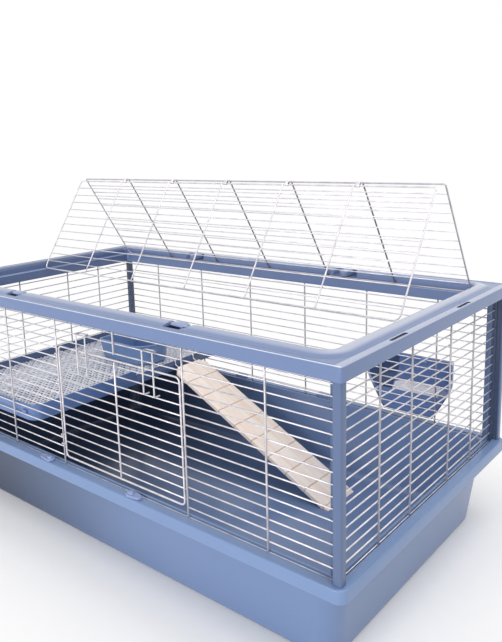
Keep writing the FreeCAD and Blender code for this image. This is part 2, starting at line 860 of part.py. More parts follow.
def platform_mesh():
    """Welded deck of thin wires on the frame's ledge: cross wires below, long wires on top."""
    clear = platform_wall + slip
    x0 = platform_left + clear
    x1 = platform_right - clear
    half_y = half_depth - platform_inset - clear
    z_low = deck_seat + slip + mesh_wire / 2
    z_high = z_low + mesh_wire + weld_gap
    up = V(0, 0, 1)
    wires = []
    across = int((2 * half_y - mesh_pitch) / mesh_pitch)
    for i in range(across + 1):
        y = (i - across / 2) * mesh_pitch
        trim = corner_trim(half_y - abs(y))
        wires.append(rod(V(x0 + trim, y, z_low), V(x1 - trim, y, z_low), mesh_wire, up))
    along = int((x1 - x0 - mesh_pitch) / mesh_pitch)
    for i in range(along + 1):
        place = (i - along / 2) * mesh_pitch
        x = (x0 + x1) / 2 + place
        trim = corner_trim((x1 - x0) / 2 - abs(place))
        wires.append(rod(V(x, -half_y + trim, z_high), V(x, half_y - trim, z_high), mesh_wire, up))
    return Part.makeCompound(wires)


# Ramp


def ramp_board():
    """Grooved board with clipped top corners; its foot is cut to lie on the tray's floor."""
    floor = tray_wall + slip
    slope = math.radians(ramp_angle)
    length = (ramp_head_z - floor) / math.sin(slope) + ramp_thick
    half = ramp_width / 2
    clip = ramp_corner
    outline = [V(0, -half + clip, 0), V(clip, -half, 0), V(length, -half, 0),
               V(length, half, 0), V(clip, half, 0), V(0, half - clip, 0)]
    board = flat_face(outline).extrude(V(0, 0, ramp_thick))
    board.translate(V(0, 0, -ramp_thick / 2))
    count = int(length / ramp_groove_pitch)
    depth = ramp_groove / 2
    face = ramp_thick / 2
    for i in range(1, count):
        x = i * ramp_groove_pitch
        corners = [(x - depth, face + slip), (x, face - depth), (x + depth, face + slip)]
        board = board.cut(prism_y(corners, -half - slip, half + slip))
    for side in (-1, 1):
        y = side * ramp_hook_spacing / 2
        end = V(ramp_hook_hold + slip, y, 0)
        across = ramp_hook_wire + 2 * pin_play
        board = board.cut(rod(V(-slip, y, 0), end, across, V(0, 0, 1), wire_sides))
    board.rotate(V(0, 0, 0), V(0, 1, 0), ramp_angle)
    board.translate(V(ramp_head_x, ramp_middle, ramp_head_z))
    y0 = ramp_middle - ramp_width
    below = box(ramp_head_x, half_length, y0, y0 + 2 * ramp_width, -rim_height, floor)
    return board.cut(below)


def ramp_hooks():
    """Two wire hooks: a curl over the platform's sill, a short shank and a tail held in the board's end."""
    curl = sill_round + slip + ramp_hook_wire / 2
    slope = math.radians(ramp_angle)
    tail = V(math.cos(slope), 0, -math.sin(slope))
    hooks = []
    for side in (-1, 1):
        y = ramp_middle + side * ramp_hook_spacing / 2
        route = []
        for i in range(curl_chords + 1):
            turn = math.radians(ramp_hook_tip) * (1 - i / curl_chords)
            route.append(V(sill_x + curl * math.cos(turn), y, sill_z + curl * math.sin(turn)))
        head = V(ramp_head_x, y, ramp_head_z)
        route.append(V(sill_x + curl, y, head.z + (head.x - sill_x - curl) * math.tan(slope)))
        route.append(head + tail * ramp_hook_hold)
        hooks.append(swept_wire(route, ramp_hook_wire, V(0, 1, 0)))
    return Part.makeCompound(hooks)


# Loose fittings


def food_bowl():
    """Bowl with sloping walls, square on the left, round on the right, with a turned-out lip."""
    foot_z = deck_top + slip
    top = foot_z + bowl_height
    foot_corner = bowl_foot_depth * bowl_roundness
    rim_round = bowl_rim_depth * bowl_roundness

    def outline(grow, z, length, depth, corner):
        square = corner * bowl_square_corner / bowl_roundness
        return rounded_outline(length / 2 + grow, depth / 2 + grow, corner + grow, z, square + grow)

    def foot_outline(grow, z):
        return outline(grow, z, bowl_foot_length, bowl_foot_depth, foot_corner)

    def rim_outline(grow, z):
        return outline(grow, z, bowl_rim_length, bowl_rim_depth, rim_round)

    outer = tapered_block(foot_outline(0, foot_z), rim_outline(0, top))
    inner = tapered_block(foot_outline(-bowl_wall, foot_z + bowl_wall), rim_outline(-bowl_wall, top))
    lip = flat_face(rim_outline(bowl_lip, top - bowl_lip_thick))
    bowl = outer.fuse(lip.extrude(V(0, 0, bowl_lip_thick))).cut(inner).removeSplitter()
    bowl.translate(bowl_middle)
    return bowl


def hay_rack():
    """Bucket that narrows outwards and downwards, lower at its outer wall, open on top and above a lip
    towards the cage, with two hooks."""
    near = half_depth - wire_inset + upright_wire / 2 + slip
    hook_seat = level_z(rack_level_index) + level_wire / 2 + slip
    top = hook_seat + rack_hook_wall
    foot = top - rack_height
    knee = top - rack_straight
    slope = (rack_width - rack_foot_width) / 2 / (knee - foot)

    def shield(out, wall, z_top):
        share = out / rack_depth
        wide = (rack_width + (rack_face_width - rack_width) * share) / 2 - wall
        z_foot = foot + rack_foot_rise * share + wall
        narrow = wide - slope * (knee - z_foot)
        half = [(wide, z_top), (wide, knee), (narrow, z_foot)]
        corners = [(-x, z) for x, z in half] + half[::-1]
        return [V(x, near + out, z) for x, z in corners]

    outer = tapered_block(shield(0, 0, top), shield(rack_depth, 0, top))
    back = rack_depth - rack_wall
    inner = tapered_block(shield(-slip, rack_wall, top + slip), shield(back, rack_wall, top + slip))
    bridge_foot = top - 2 * rack_hook_wall
    lip = outer.common(box(-rack_width, rack_width, near, near + rack_wall, foot, foot + rack_lip))
    bar = outer.common(box(-rack_width, rack_width, near, near + rack_wall, bridge_foot, top))
    y_start = near + 2 * rack_wall
    y_end = near + rack_depth + slip
    z_over = top + rack_wall
    above = [(y_start, top), (y_end, top - rack_top_drop), (y_end, z_over), (y_start, z_over)]
    rack = outer.cut(inner).fuse([lip, bar]).cut(prism_x(above, -rack_width, rack_width))
    y_wire = half_depth - level_inset
    y_lip = y_wire - level_wire / 2 - slip - rack_hook_wall
    half = rack_hook_width / 2
    for side in (-1, 1):
        x = side * rack_hook_spacing / 2
        arm = box(x - half, x + half, y_lip, near + rack_wall, hook_seat, top)
        hook_foot = top - rack_hook_wall - rack_hook_drop
        hook = box(x - half, x + half, y_lip, y_lip + rack_hook_wall, hook_foot, top)
        rack = rack.fuse([arm, hook])
    rack = rack.removeSplitter()
    rack.translate(V(rack_middle, 0, 0))
    return rack


def save(name, shape):
    """Write one node, after making sure that every solid in it is sound."""
    for solid in shape.Solids:
        if not solid.isValid() or solid.Volume <= 0:
            raise ValueError("unsound solid in " + name)
    shape.exportStep("parts/" + name + ".step")


os.makedirs("parts", exist_ok=True)
corner_signs = (("front_left", -1, -1), ("front_right", 1, -1), ("rear_left", -1, 1), ("rear_right", 1, 1))

save("base_tray", base_tray())
post = corner_post()
for corner_name, sx, sy in corner_signs:
    save("corner_post_" + corner_name, at_corner(post, sx, sy))
save("top_frame", top_frame())

save("front_wire_wall", long_wall(-1))
save("rear_wire_wall", long_wall(1))
save("left_wire_wall", end_wall(-1))
save("right_wire_wall", end_wall(1))

save("front_door", front_door())
save("door_hinge_rings", door_hinge_rings())
save("door_latch_left", door_latch(hook_places[0]))
save("door_latch_right", door_latch(hook_places[1]))

save("lid_rear_panel", lid_rear_panel())
save("lid_front_panel", lid_front_panel())
save("lid_clips", lid_clips())

knob = turn_latch()
clip = tray_latch()
for corner_name, sx, sy in corner_signs:
    knob_turn = 180.0 if sy < 0 else -90.0
    y = sy * (half_depth - latch_inset)
    save("turn_latch_" + corner_name, placed(knob, latch_x(sx, sy), y, knob_turn))
    clip_turn = 180.0 if sx < 0 else 0.0
    y = sy * (half_depth - tray_latch_inset)
    save("tray_latch_" + corner_name, placed(clip, sx * tray_latch_place, y, clip_turn))

save("platform_frame", platform_frame())
save("platform_mesh", platform_mesh())
save("ramp_board", ramp_board())
save("ramp_hooks", ramp_hooks())
save("food_bowl", food_bowl())
save("hay_rack", hay_rack())
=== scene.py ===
import json
import math

import bmesh
import bpy
import numpy as np
from mathutils import Matrix, Vector


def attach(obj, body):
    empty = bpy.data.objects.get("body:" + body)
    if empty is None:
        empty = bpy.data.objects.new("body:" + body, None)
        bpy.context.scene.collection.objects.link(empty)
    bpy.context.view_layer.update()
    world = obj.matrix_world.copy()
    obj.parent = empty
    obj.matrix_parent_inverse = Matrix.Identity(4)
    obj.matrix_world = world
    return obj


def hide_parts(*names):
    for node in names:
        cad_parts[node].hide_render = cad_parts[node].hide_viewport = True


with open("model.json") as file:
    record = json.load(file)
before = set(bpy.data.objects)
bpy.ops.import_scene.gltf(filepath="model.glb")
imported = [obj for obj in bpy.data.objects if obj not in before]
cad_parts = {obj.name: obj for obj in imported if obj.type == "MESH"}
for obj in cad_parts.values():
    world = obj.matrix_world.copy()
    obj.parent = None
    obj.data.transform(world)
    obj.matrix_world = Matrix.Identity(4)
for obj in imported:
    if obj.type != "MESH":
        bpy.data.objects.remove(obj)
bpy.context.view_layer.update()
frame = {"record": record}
record = frame["record"]
body_of = {node: body for body, nodes in record["behaviour"]["bodies"].items() for node in nodes}

# Sizes in millimetres; every surface is worked out in millimetres and set down in metres
mm = 0.001
half_length, half_depth, rim, tray_floor = 500.0, 282.5, 150.0, 3.0
flange_z, lid_ledge_z = 439.3, 427.0
bead_start, bead_crest, bead_end = 13.0, 33.0, 45.0
bead_foot, bead_top, bead_mouth = 440.0, 444.0, 435.5
latch_spread, latch_shift, latch_inset, latch_floor = 204.5, 11.5, 32.5, 431.0
recess_half, recess_edge, recess_narrowing, recess_slant = 26.8, 15.6, 5.6, 1.42
clip_spread, clip_inset, post_head = 106.0, 5.0, 435.2
upright_inset, level_inset, weld_inset = 14.7, 17.35, 16.2
upright_radius, level_radius = 1.5, 1.1
upright_foot, upright_head = 142.3, 437.2
uprights = np.array([-375.0, -225.0, -75.0, 75.0, 225.0, 375.0])
end_uprights = np.array([-161.87, -66.95, 66.95, 161.87])
level_pitch = 16.5
levels = 427.0 - level_pitch * np.arange(18)
level_end_x, level_end_y = 479.7, 262.2
bay_left, bay_right, bay_head = -73.5, 223.5, 376.4
door_left, door_right, door_foot, door_head = -69.0, 219.0, 165.0, 367.0
door_y, door_level_y, door_weld_y = -267.8, -265.15, -266.3
lid_tilt, lid_half_length, lid_reach = math.radians(57.5), 445.0, 232.5
lid_cross = lid_half_length * (np.arange(1, 6) / 3 - 1)
lid_heel, lid_ridge, lid_ridge_gap, lid_shift = (0, 232.5, 428.7), (0, 107.58, 624.79), 5.8, 6.5
platform_x, platform_half_x, platform_half_y, platform_ledge = -320.0, 150.0, 261.5, 213.2
sill_x, sill_z = -171.5, 219.55
gate_start, gate_end, gate_run, gate_drop = -10.98, 210.98, 5.98, 0.656
deck_z, deck_pitch, deck_wave = 215.3, 10.0, 0.7
ramp_slope, ramp_half_width, ramp_groove_pitch = math.radians(27.5), 48.0, 49.0
ramp_x, ramp_y, ramp_z = -157.5, 137.5, 208.55
bowl_half_x, bowl_half_y, bowl_middle = 77.0, 54.0, (-272.5, 91.0)
rack_x, rack_y, rack_top, rack_knee, rack_foot = 317.0, 269.6, 282.4, 228.4, 158.4
rack_half_width, rack_depth, rack_wall = 92.0, 68.0, 2.5
corners = {"front_left": (-1, -1), "front_right": (1, -1), "rear_left": (-1, 1), "rear_right": (1, 1)}

# Finishes


def linear(code):
    """Linear colour of a six-digit screen colour."""
    parts = np.array([int(code[i:i + 2], 16) for i in (0, 2, 4)]) / 255
    return (*np.where(parts <= 0.04045, parts / 12.92, ((parts + 0.055) / 1.055) ** 2.4).tolist(), 1.0)


def add(tree, kind, inputs=None, **settings):
    """Node with its settings; an input takes a value or the socket of another node."""
    node = tree.nodes.new(kind)
    for key, value in settings.items():
        setattr(node, key, value)
    for key, value in (inputs or {}).items():
        if isinstance(value, bpy.types.NodeSocket):
            tree.links.new(value, node.inputs[key])
        else:
            node.inputs[key].default_value = value
    return node


def effect(name, inputs, outputs):
    """Empty node group with named inputs (kind, value) and outputs (kind)."""
    group = bpy.data.node_groups.new(name, "ShaderNodeTree")
    for label, (kind, value) in inputs.items():
        socket = group.interface.new_socket(label, in_out="INPUT", socket_type=kind)
        if value is not None:
            socket.default_value = value
    for label, kind in outputs.items():
        group.interface.new_socket(label, in_out="OUTPUT", socket_type=kind)
    return group, group.nodes.new("NodeGroupInput").outputs, group.nodes.new("NodeGroupOutput")


def blend(tree, factor, first, second):
    """Colour between two colours."""
    node = add(tree, "ShaderNodeMix", {"Factor": factor, "A": first, "B": second}, data_type="RGBA")
    return node.outputs["Result"]


def layered(tree, colour, *layers):
    """Colour with layers laid over it in turn, each a mask and a screen colour."""
    for mask, code in layers:
        colour = blend(tree, mask, colour, linear(code))
    return colour


def maths(tree, operation, *values):
    """Result of one sum on values or sockets."""
    return add(tree, "ShaderNodeMath", dict(enumerate(values)), operation=operation).outputs[0]


def product(tree, first, *others):
    """Masks multiplied together."""
    for other in others:
        first = maths(tree, "MULTIPLY", first, other)
    return first


def ramp(tree, value, low, high, start=0.0, end=1.0, way="SMOOTHSTEP"):
    """Value taken from one range to another, held at its ends."""
    given = {"Value": value, "From Min": low, "From Max": high, "To Min": start, "To Max": end}
    return add(tree, "ShaderNodeMapRange", given, interpolation_type=way).outputs["Result"]


def around(tree, value, middle, inner, outer, height=1.0):
    """Mask that holds its height while a value is near a middle and falls to 0 between two distances from it."""
    distance = maths(tree, "ABSOLUTE", maths(tree, "SUBTRACT", value, middle))
    return ramp(tree, distance, inner, outer, height, 0.0)


def beyond(tree, x, y, half_x, half_y):
    """How far a place lies outside a rectangle round the origin, negative inside it."""
    over_x = maths(tree, "SUBTRACT", maths(tree, "ABSOLUTE", x), half_x)
    over_y = maths(tree, "SUBTRACT", maths(tree, "ABSOLUTE", y), half_y)
    return maths(tree, "MAXIMUM", over_x, over_y)


def coordinates(tree, place):
    """The three coordinates of a place, in millimetres."""
    scaled = add(tree, "ShaderNodeVectorMath", {0: place, "Scale": 1 / mm}, operation="SCALE")
    return tuple(add(tree, "ShaderNodeSeparateXYZ", {0: scaled.outputs[0]}).outputs)


def stretched(tree, place, scale, turn=(0, 0, 0)):
    """Place stretched along its axes, then turned."""
    return add(tree, "ShaderNodeMapping", {"Vector": place, "Scale": scale, "Rotation": turn}).outputs["Vector"]


def noise(tree, place, scale, detail, **more):
    """Cloudy value between 0 and 1 at a place."""
    given = {"Vector": place, "Scale": scale, "Detail": detail, **more}
    return add(tree, "ShaderNodeTexNoise", given).outputs["Fac"]


def between(tree, factor, dark, light, low, high):
    """Colour that goes from dark to light while a factor goes from low to high."""
    node = add(tree, "ShaderNodeValToRGB", {"Fac": factor})
    for stop, code, position in zip(node.color_ramp.elements, (dark, light), (low, high)):
        stop.color, stop.position = linear(code), position
    return node.outputs["Color"]


def moulded_effect():
    """Injection-moulded plastic: slow tint drift, fine scuffs drawn out along X, and a fine spark-eroded grain."""
    group, given, out = effect(
        "moulded_surface",
        {"Vector": ("NodeSocketVector", None), "Tint": ("NodeSocketColor", (1, 1, 1, 1)),
         "Deep": ("NodeSocketColor", (0, 0, 0, 1)), "Scuff": ("NodeSocketColor", (1, 1, 1, 1)),
         "Gloss": ("NodeSocketFloat", 0.35)},
        {"Color": "NodeSocketColor", "Roughness": "NodeSocketFloat", "Height": "NodeSocketFloat"})
    place = given["Vector"]
    tint = blend(group, noise(group, place, 7.0, 3.0), given["Deep"], given["Tint"])
    scratch = noise(group, stretched(group, place, (14.0, 160.0, 160.0)), 1.0, 6.0, Roughness=0.7)
    scuff = ramp(group, scratch, 0.6, 0.8, 0.0, 0.14, "LINEAR")
    rough = maths(group, "ADD", maths(group, "MULTIPLY", scratch, 0.1), given["Gloss"])
    group.links.new(blend(group, scuff, tint, given["Scuff"]), out.inputs["Color"])
    group.links.new(rough, out.inputs["Roughness"])
    group.links.new(noise(group, place, 900.0, 2.0), out.inputs["Height"])
    return group


def shader(name):
    """New material with its node tree, its Principled shader and its Object coordinates."""
    material = bpy.data.materials.new(name)
    material.use_nodes = True
    tree = material.node_tree
    bsdf = tree.nodes["Principled BSDF"]
    place = tree.nodes.new("ShaderNodeTexCoord").outputs["Object"]
    return material, tree, bsdf, place


def skin(tree, place, moulded, tint, deep, scuff, gloss):
    """Moulded surface in one colour family."""
    node = add(tree, "ShaderNodeGroup", node_tree=moulded)
    tree.links.new(place, node.inputs["Vector"])
    for label, code in (("Tint", tint), ("Deep", deep), ("Scuff", scuff)):
        node.inputs[label].default_value = linear(code)
    node.inputs["Gloss"].default_value = gloss
    return node.outputs


def dress(tree, bsdf, colour, roughness, height, strength=0.05, distance=0.0003):
    """Join a colour, a roughness and a fine relief to a shader."""
    bump = add(tree, "ShaderNodeBump", {"Height": height, "Strength": strength, "Distance": distance})
    tree.links.new(colour, bsdf.inputs["Base Color"])
    tree.links.new(roughness, bsdf.inputs["Roughness"])
    tree.links.new(bump.outputs["Normal"], bsdf.inputs["Normal"])


def bowl_plastic(moulded):
    """Bowl: moulded blue plastic, the same all over."""
    material, tree, bsdf, place = shader("bowl_blue_plastic")
    surface = skin(tree, place, moulded, "6f8cb8", "6480ab", "93aacb", 0.14)
    dress(tree, bsdf, surface["Color"], surface["Roughness"], surface["Height"])
    return material


def frame_plastic(moulded):
    """Frame: blue plastic with a painted highlight on the smoother crest of the bead, brightest on the right, a
    painted highlight on the right ledge, painted shade in the slots of the end rails, a painted highlight along
    the fine lip of the outer edge, a shaded inside on the left, a painted highlight along the lid's ledge and
    painted shade in the latch recesses, darkest at the front."""
    material, tree, bsdf, place = shader("frame_blue_plastic")
    surface = skin(tree, place, moulded, "6f83aa", "667aa1", "90a1bf", 0.16)
    x, y, z = coordinates(tree, place)
    wide, deep = (maths(tree, "ABSOLUTE", value) for value in (x, y))
    # Painted highlight: the bead's crest is made paler, most of all on the right rail.
    crest = product(tree, ramp(tree, z, bead_foot + 0.5, bead_top - 0.4, 0.0, 0.5),
                    ramp(tree, x, 440.0, 470.0, 1.0, 1.7))
    # Painted highlight on the flat ledge of the right rail.
    ledge = product(tree, ramp(tree, x, 487.4, 488.0, 0.0, 0.55), ramp(tree, z, flange_z - 0.5, flange_z - 0.1))
    # Painted shade in the slots through the end rails.
    slot_shade = product(tree, ramp(tree, wide, 489.2, 489.6), ramp(tree, wide, 497.0, 497.4, 1.0, 0.0),
                   ramp(tree, z, flange_z - 0.5, flange_z - 0.2, 0.85, 0.0),
                   ramp(tree, deep, 170.0, 180.0, 1.0, 0.0))
    # Painted highlight along the fine lip of the outer edge.
    lip = product(tree, ramp(tree, deep, half_depth - 2.1, half_depth - 1.2, 0.0, 0.7),
                  ramp(tree, z, flange_z - 0.5, flange_z + 0.1))
    shade = product(tree, ramp(tree, x, -468.0, -466.0), ramp(tree, x, -446.0, -444.0, 1.0, 0.0),
                    ramp(tree, deep, 236.0, 240.0, 0.55, 0.0))
    # Painted highlight along the edge of the lid's ledge.
    step = product(tree, around(tree, z, lid_ledge_z - 0.2, 0.6, 1.1, 0.6),
                   ramp(tree, beyond(tree, x, y, 460.0, 242.5), -1.0, 1.0, 1.0, 0.0))
    # Painted shade in the latch recesses, darkest at the front.
    along = maths(tree, "MULTIPLY_ADD", maths(tree, "SIGN", y), latch_shift, x)
    recess_shade = product(tree, around(tree, maths(tree, "ABSOLUTE", along), latch_spread, 26.5, 28.5),
                     ramp(tree, z, 436.5, 438.5, 1.0, 0.0), ramp(tree, y, -100.0, 100.0, 0.9, 0.15),
                     around(tree, deep, 252.2, 14.9, 15.7))
    colour = layered(tree, surface["Color"], (crest, "bfc4d2"), (ledge, "c9cede"), (slot_shade, "1d2740"),
                     (lip, "e3e9f4"), (shade, "33436b"), (step, "a9bbdb"), (recess_shade, "1d2740"))
    rough = maths(tree, "MULTIPLY_ADD", crest, -0.12, surface["Roughness"])
    dress(tree, bsdf, colour, rough, surface["Height"])
    return material


def post_plastic(moulded):
    """Post: the frame's blue made a little darker as painted shade, with painted shade in the wire slots behind
    the outer faces, and shaded at the back on the left."""
    material, tree, bsdf, place = shader("post_blue_plastic")
    # The tint is the frame's blue, darker as painted shade under the frame's overhang.
    surface = skin(tree, place, moulded, "5e7194", "56698b", "7a8ba9", 0.2)
    x, y, _ = coordinates(tree, place)
    depth = beyond(tree, x, y, half_length, half_depth)
    far = product(tree, ramp(tree, y, 0.0, 100.0, 0.0, 0.6), ramp(tree, x, 0.0, 100.0, 1.0, 0.0))
    # Painted shade in the wire slots behind the outer faces.
    slot_shade = product(tree, ramp(tree, depth, -6.5, -4.5, 0.7, 0.0), ramp(tree, depth, -18.9, -18.5))
    colour = layered(tree, surface["Color"], (far, "2c3852"), (slot_shade, "1f2b45"))
    dress(tree, bsdf, colour, surface["Roughness"], surface["Height"])
    return material


def tray_plastic(moulded):
    """Tray: the rim and the outside in the frame's blue; inside, from the groove inwards, a glossier blue that
    turns to a navy of painted shade on the left, under the platform."""
    material, tree, bsdf, place = shader("tray_blue_plastic")
    outside = skin(tree, place, moulded, "7a93bb", "708ab2", "9db0ce", 0.24)
    inside = skin(tree, place, moulded, "748bb2", "6a81a8", "889ec2", 0.14)
    shade = skin(tree, place, moulded, "35435c", "2e3b54", "485873", 0.2)
    x, y, z = coordinates(tree, place)
    lined = product(tree, ramp(tree, beyond(tree, x, y, 478.5, 261.0), -1.0, 0.5, 1.0, 0.0),
                    ramp(tree, z, 0.5, 1.5))
    # Painted shade: the inside turns to navy towards the left, under the platform.
    within = blend(tree, ramp(tree, x, -400.0, 200.0), shade["Color"], inside["Color"])
    rough = add(tree, "ShaderNodeMix", {"Factor": lined, "A": outside["Roughness"], "B": inside["Roughness"]})
    colour = blend(tree, lined, outside["Color"], within)
    dress(tree, bsdf, colour, rough.outputs["Result"], outside["Height"])
    return material


def knob_plastic(moulded):
    """Knob: pale glossy dome over a foot with painted shade below the bead's crest, darkest at the front."""
    material, tree, bsdf, place = shader("knob_blue_plastic")
    surface = skin(tree, place, moulded, "8b9dc4", "8092b9", "b9c5dc", 0.08)
    _, y, z = coordinates(tree, place)
    # Painted shade on the knob's foot, where it sits down in the recess.
    foot = product(tree, ramp(tree, z, bead_foot + 0.3, bead_foot + 1.5, 1.0, 0.0), ramp(tree, z, 200.0, 300.0),
                   ramp(tree, y, -100.0, 100.0, 1.0, 0.3))
    colour = layered(tree, surface["Color"], (foot, "1d2740"))
    dress(tree, bsdf, colour, surface["Roughness"], surface["Height"])
    return material


def platform_plastic(moulded):
    """Platform: blue plastic with painted shade, darker towards the back and along the left rim."""
    material, tree, bsdf, place = shader("fitting_blue_plastic")
    surface = skin(tree, place, moulded, "6580b0", "5a75a4", "839ac2", 0.18)
    x, y, _ = coordinates(tree, place)
    # Painted shade towards the back and along the left rim.
    platform_shade = maths(tree, "MAXIMUM", ramp(tree, y, -220.0, 120.0, 0.0, 0.5), ramp(tree, x, -456.0, -450.0, 0.6, 0.0))
    colour = layered(tree, surface["Color"], (platform_shade, "26344f"))
    dress(tree, bsdf, colour, surface["Roughness"], surface["Height"])
    return material


def rack_plastic(moulded):
    """Rack: blue plastic with a painted highlight on the edges towards the cage, a shaded left wall and a painted
    reflection, a pale patch, low inside."""
    material, tree, bsdf, place = shader("rack_blue_plastic")
    surface = skin(tree, place, moulded, "6a84b4", "5f79a8", "869cc4", 0.16)
    x, y, z = coordinates(tree, place)
    left = product(tree, ramp(tree, x, 264.5, 266.5, 0.7, 0.0), ramp(tree, y, rack_y + 3.2, rack_y + 4.2))
    # Painted highlight on the side walls' edges towards the cage.
    edge = product(tree, ramp(tree, y, rack_y + 1.9, rack_y + 2.9, 0.7, 0.0), around(tree, z, 242.0, 34.0, 35.0))
    # Painted reflection: a pale patch on the sloped lower wall inside.
    painted_reflection = product(tree, around(tree, x, rack_x - 3.0, 46.0, 48.5), around(tree, z, 190.0, 13.0, 14.5),
                    ramp(tree, y, 295.0, 295.5), ramp(tree, y, 335.8, 336.6, 1.0, 0.0))
    colour = layered(tree, surface["Color"], (left, "26344f"), (edge, "aab6d2"), (painted_reflection, "f8f7fa"))
    dress(tree, bsdf, colour, surface["Roughness"], surface["Height"])
    return material


def zinc(name, dark, light):
    """Bright zinc on drawn wire: pale grey metal with cloudy spangle, a fine grain and painted shade, a darker
    grey, where asked."""
    material, tree, bsdf, place = shader(name)
    spangle = between(tree, noise(tree, place, 55.0, 4.0), dark, light, 0.3, 0.7)
    # Painted shade read from each wire piece, darkening wires that lie in shade.
    painted_shade = add(tree, "ShaderNodeAttribute", attribute_name="painted_shade").outputs["Fac"]
    grain = noise(tree, place, 700.0, 2.0)
    rough = ramp(tree, grain, 0.0, 1.0, 0.24, 0.46, "LINEAR")
    bsdf.inputs["Metallic"].default_value = 0.4
    dress(tree, bsdf, layered(tree, spangle, (painted_shade, "58545c")), rough, grain, 0.1)
    return material


def pale_wood():
    """Pale sawn softwood along the ramp: long grain, darker lines in the grooves and fine pores."""
    material, tree, bsdf, place = shader("pale_ramp_wood")
    along = stretched(tree, place, (1, 1, 1), (0, -ramp_slope, 0))
    grain = noise(tree, stretched(tree, along, (5.0, 70.0, 70.0)), 1.0, 5.0, Distortion=0.6)
    pores = noise(tree, stretched(tree, along, (60.0, 900.0, 900.0)), 1.0, 3.0)
    x, _, z = coordinates(tree, place)
    level, fall = math.cos(ramp_slope), math.sin(ramp_slope)
    down = maths(tree, "MULTIPLY_ADD", x, level, ramp_z * fall - ramp_x * level)
    down = maths(tree, "MULTIPLY_ADD", z, -fall, down)
    groove = ramp(tree, maths(tree, "PINGPONG", down, ramp_groove_pitch / 2), 0.7, 1.7, 0.6, 0.0)
    board = layered(tree, between(tree, grain, "f8e1cf", "fff6ec", 0.32, 0.62), (groove, "b79a85"))
    rough = ramp(tree, pores, 0.0, 1.0, 0.55, 0.8, "LINEAR")
    dress(tree, bsdf, board, rough, pores, 0.25, 0.0005)
    return material


# Shapes


def latch_x(sx, sy):
    """Place of a turn latch along its rail; the two rails are alike by a half turn."""
    return latch_spread * sx - latch_shift * sy


def unit(vectors):
    """Vectors of length one."""
    return vectors / np.linalg.norm(vectors, axis=-1, keepdims=True)


def ease(value):
    """Smooth step from 0 to 1."""
    value = np.clip(value, 0, 1)
    return value * value * (3 - 2 * value)


def quads(rows, cols, close_rows=False, close_cols=True):
    """Corner numbers of a grid's squares; a closed way joins its last line to its first."""
    a, b = np.meshgrid(np.arange(rows if close_rows else rows - 1), np.arange(cols if close_cols else cols - 1),
                       indexing="ij")
    c, d = (a + 1) % rows, (b + 1) % cols
    return np.stack([a * cols + b, a * cols + d, c * cols + d, c * cols + b], -1).reshape(-1, 4)


def tubes(count, rows, cols, closed=False):
    """Faces of equal tubes, whose points follow one another ring by ring; open tubes have a flat cap at both
    ends."""
    base = (np.arange(count) * rows * cols)[:, None]
    faces = (quads(rows, cols, closed)[None] + base[:, :, None]).reshape(-1, 4)
    if closed:
        return [faces]
    cap = np.arange(cols)[None]
    return [faces, np.concatenate([cap[:, ::-1] + base, cap + base + (rows - 1) * cols])]


def capped(points):
    """Grid of rings with a flat face over its first and its last ring."""
    return points, tubes(1, *points.shape[:2])


def stacked(plans, heights):
    """Outlines in plan, one for each height or the same for all, as a capped stack of rings."""
    heights = np.asarray(heights, float)[:, None, None]
    plans = np.broadcast_to(plans, (len(heights), *np.shape(plans)[-2:]))
    return capped(np.concatenate([plans, np.broadcast_to(heights, (*plans.shape[:2], 1))], -1))


def softened(points, cut, steps=4, closed=True):
    """Run of points whose corners become parabolas that leave and join the edges a given cut away."""
    points = np.asarray(points, float)
    back, ahead = np.roll(points, 1, 0) - points, np.roll(points, -1, 0) - points
    cut = np.broadcast_to(np.asarray(cut, float), len(points))[:, None]
    start = points + back * np.minimum(cut / np.linalg.norm(back, axis=1, keepdims=True), 0.49)
    end = points + ahead * np.minimum(cut / np.linalg.norm(ahead, axis=1, keepdims=True), 0.49)
    u = np.linspace(0, 1, steps + 1)[None, :, None]
    curve = (1 - u) ** 2 * start[:, None] + 2 * u * (1 - u) * points[:, None] + u ** 2 * end[:, None]
    if closed:
        return curve.reshape(-1, points.shape[1])
    return np.concatenate([points[:1], curve[1:-1].reshape(-1, points.shape[1]), points[-1:]])


def wires(paths, radius, up, sides=10, closed=False, wide=1.0):
    """Round wires: a circle, or an ellipse where wide isn't 1, carried square along each path; open ends are drawn
    in a little and capped."""
    paths = np.asarray(paths, float)
    paths = paths[None] if paths.ndim == 2 else paths
    if closed:
        run = np.roll(paths, -1, 1) - np.roll(paths, 1, 1)
    else:
        first = 0.3 * radius * unit(paths[:, 1:2] - paths[:, :1])
        last = 0.3 * radius * unit(paths[:, -1:] - paths[:, -2:-1])
        paths = np.concatenate([paths[:, :1], paths[:, :1] + first, paths[:, 1:-1], paths[:, -1:] - last,
                                paths[:, -1:]], 1)
        run = np.gradient(paths, axis=1)
    run = unit(run)
    side = unit(np.cross(run, np.asarray(up, float)))
    high = np.cross(run, side)
    count, steps = paths.shape[:2]
    size = np.full(steps, float(radius))
    size[[0, -1]] *= 1.0 if closed else 0.7
    turn = np.linspace(0, 2 * np.pi, sides, endpoint=False)[:, None]
    ring = wide * np.cos(turn) * side[:, :, None] + np.sin(turn) * high[:, :, None]
    return paths[:, :, None] + size[:, None, None] * ring, tubes(count, steps, sides, closed)


def lines(starts, ends, radius, up, sides=10):
    """Straight round wires between pairs of points."""
    starts, ends = np.broadcast_arrays(np.asarray(starts, float), np.asarray(ends, float))
    return wires(np.stack([starts, ends], 1), radius, up, sides)


def spots(*axes):
    """All points of a lattice given by its values along X, Y and Z."""
    return np.stack(np.meshgrid(*axes, indexing="ij"), -1).reshape(-1, 3)


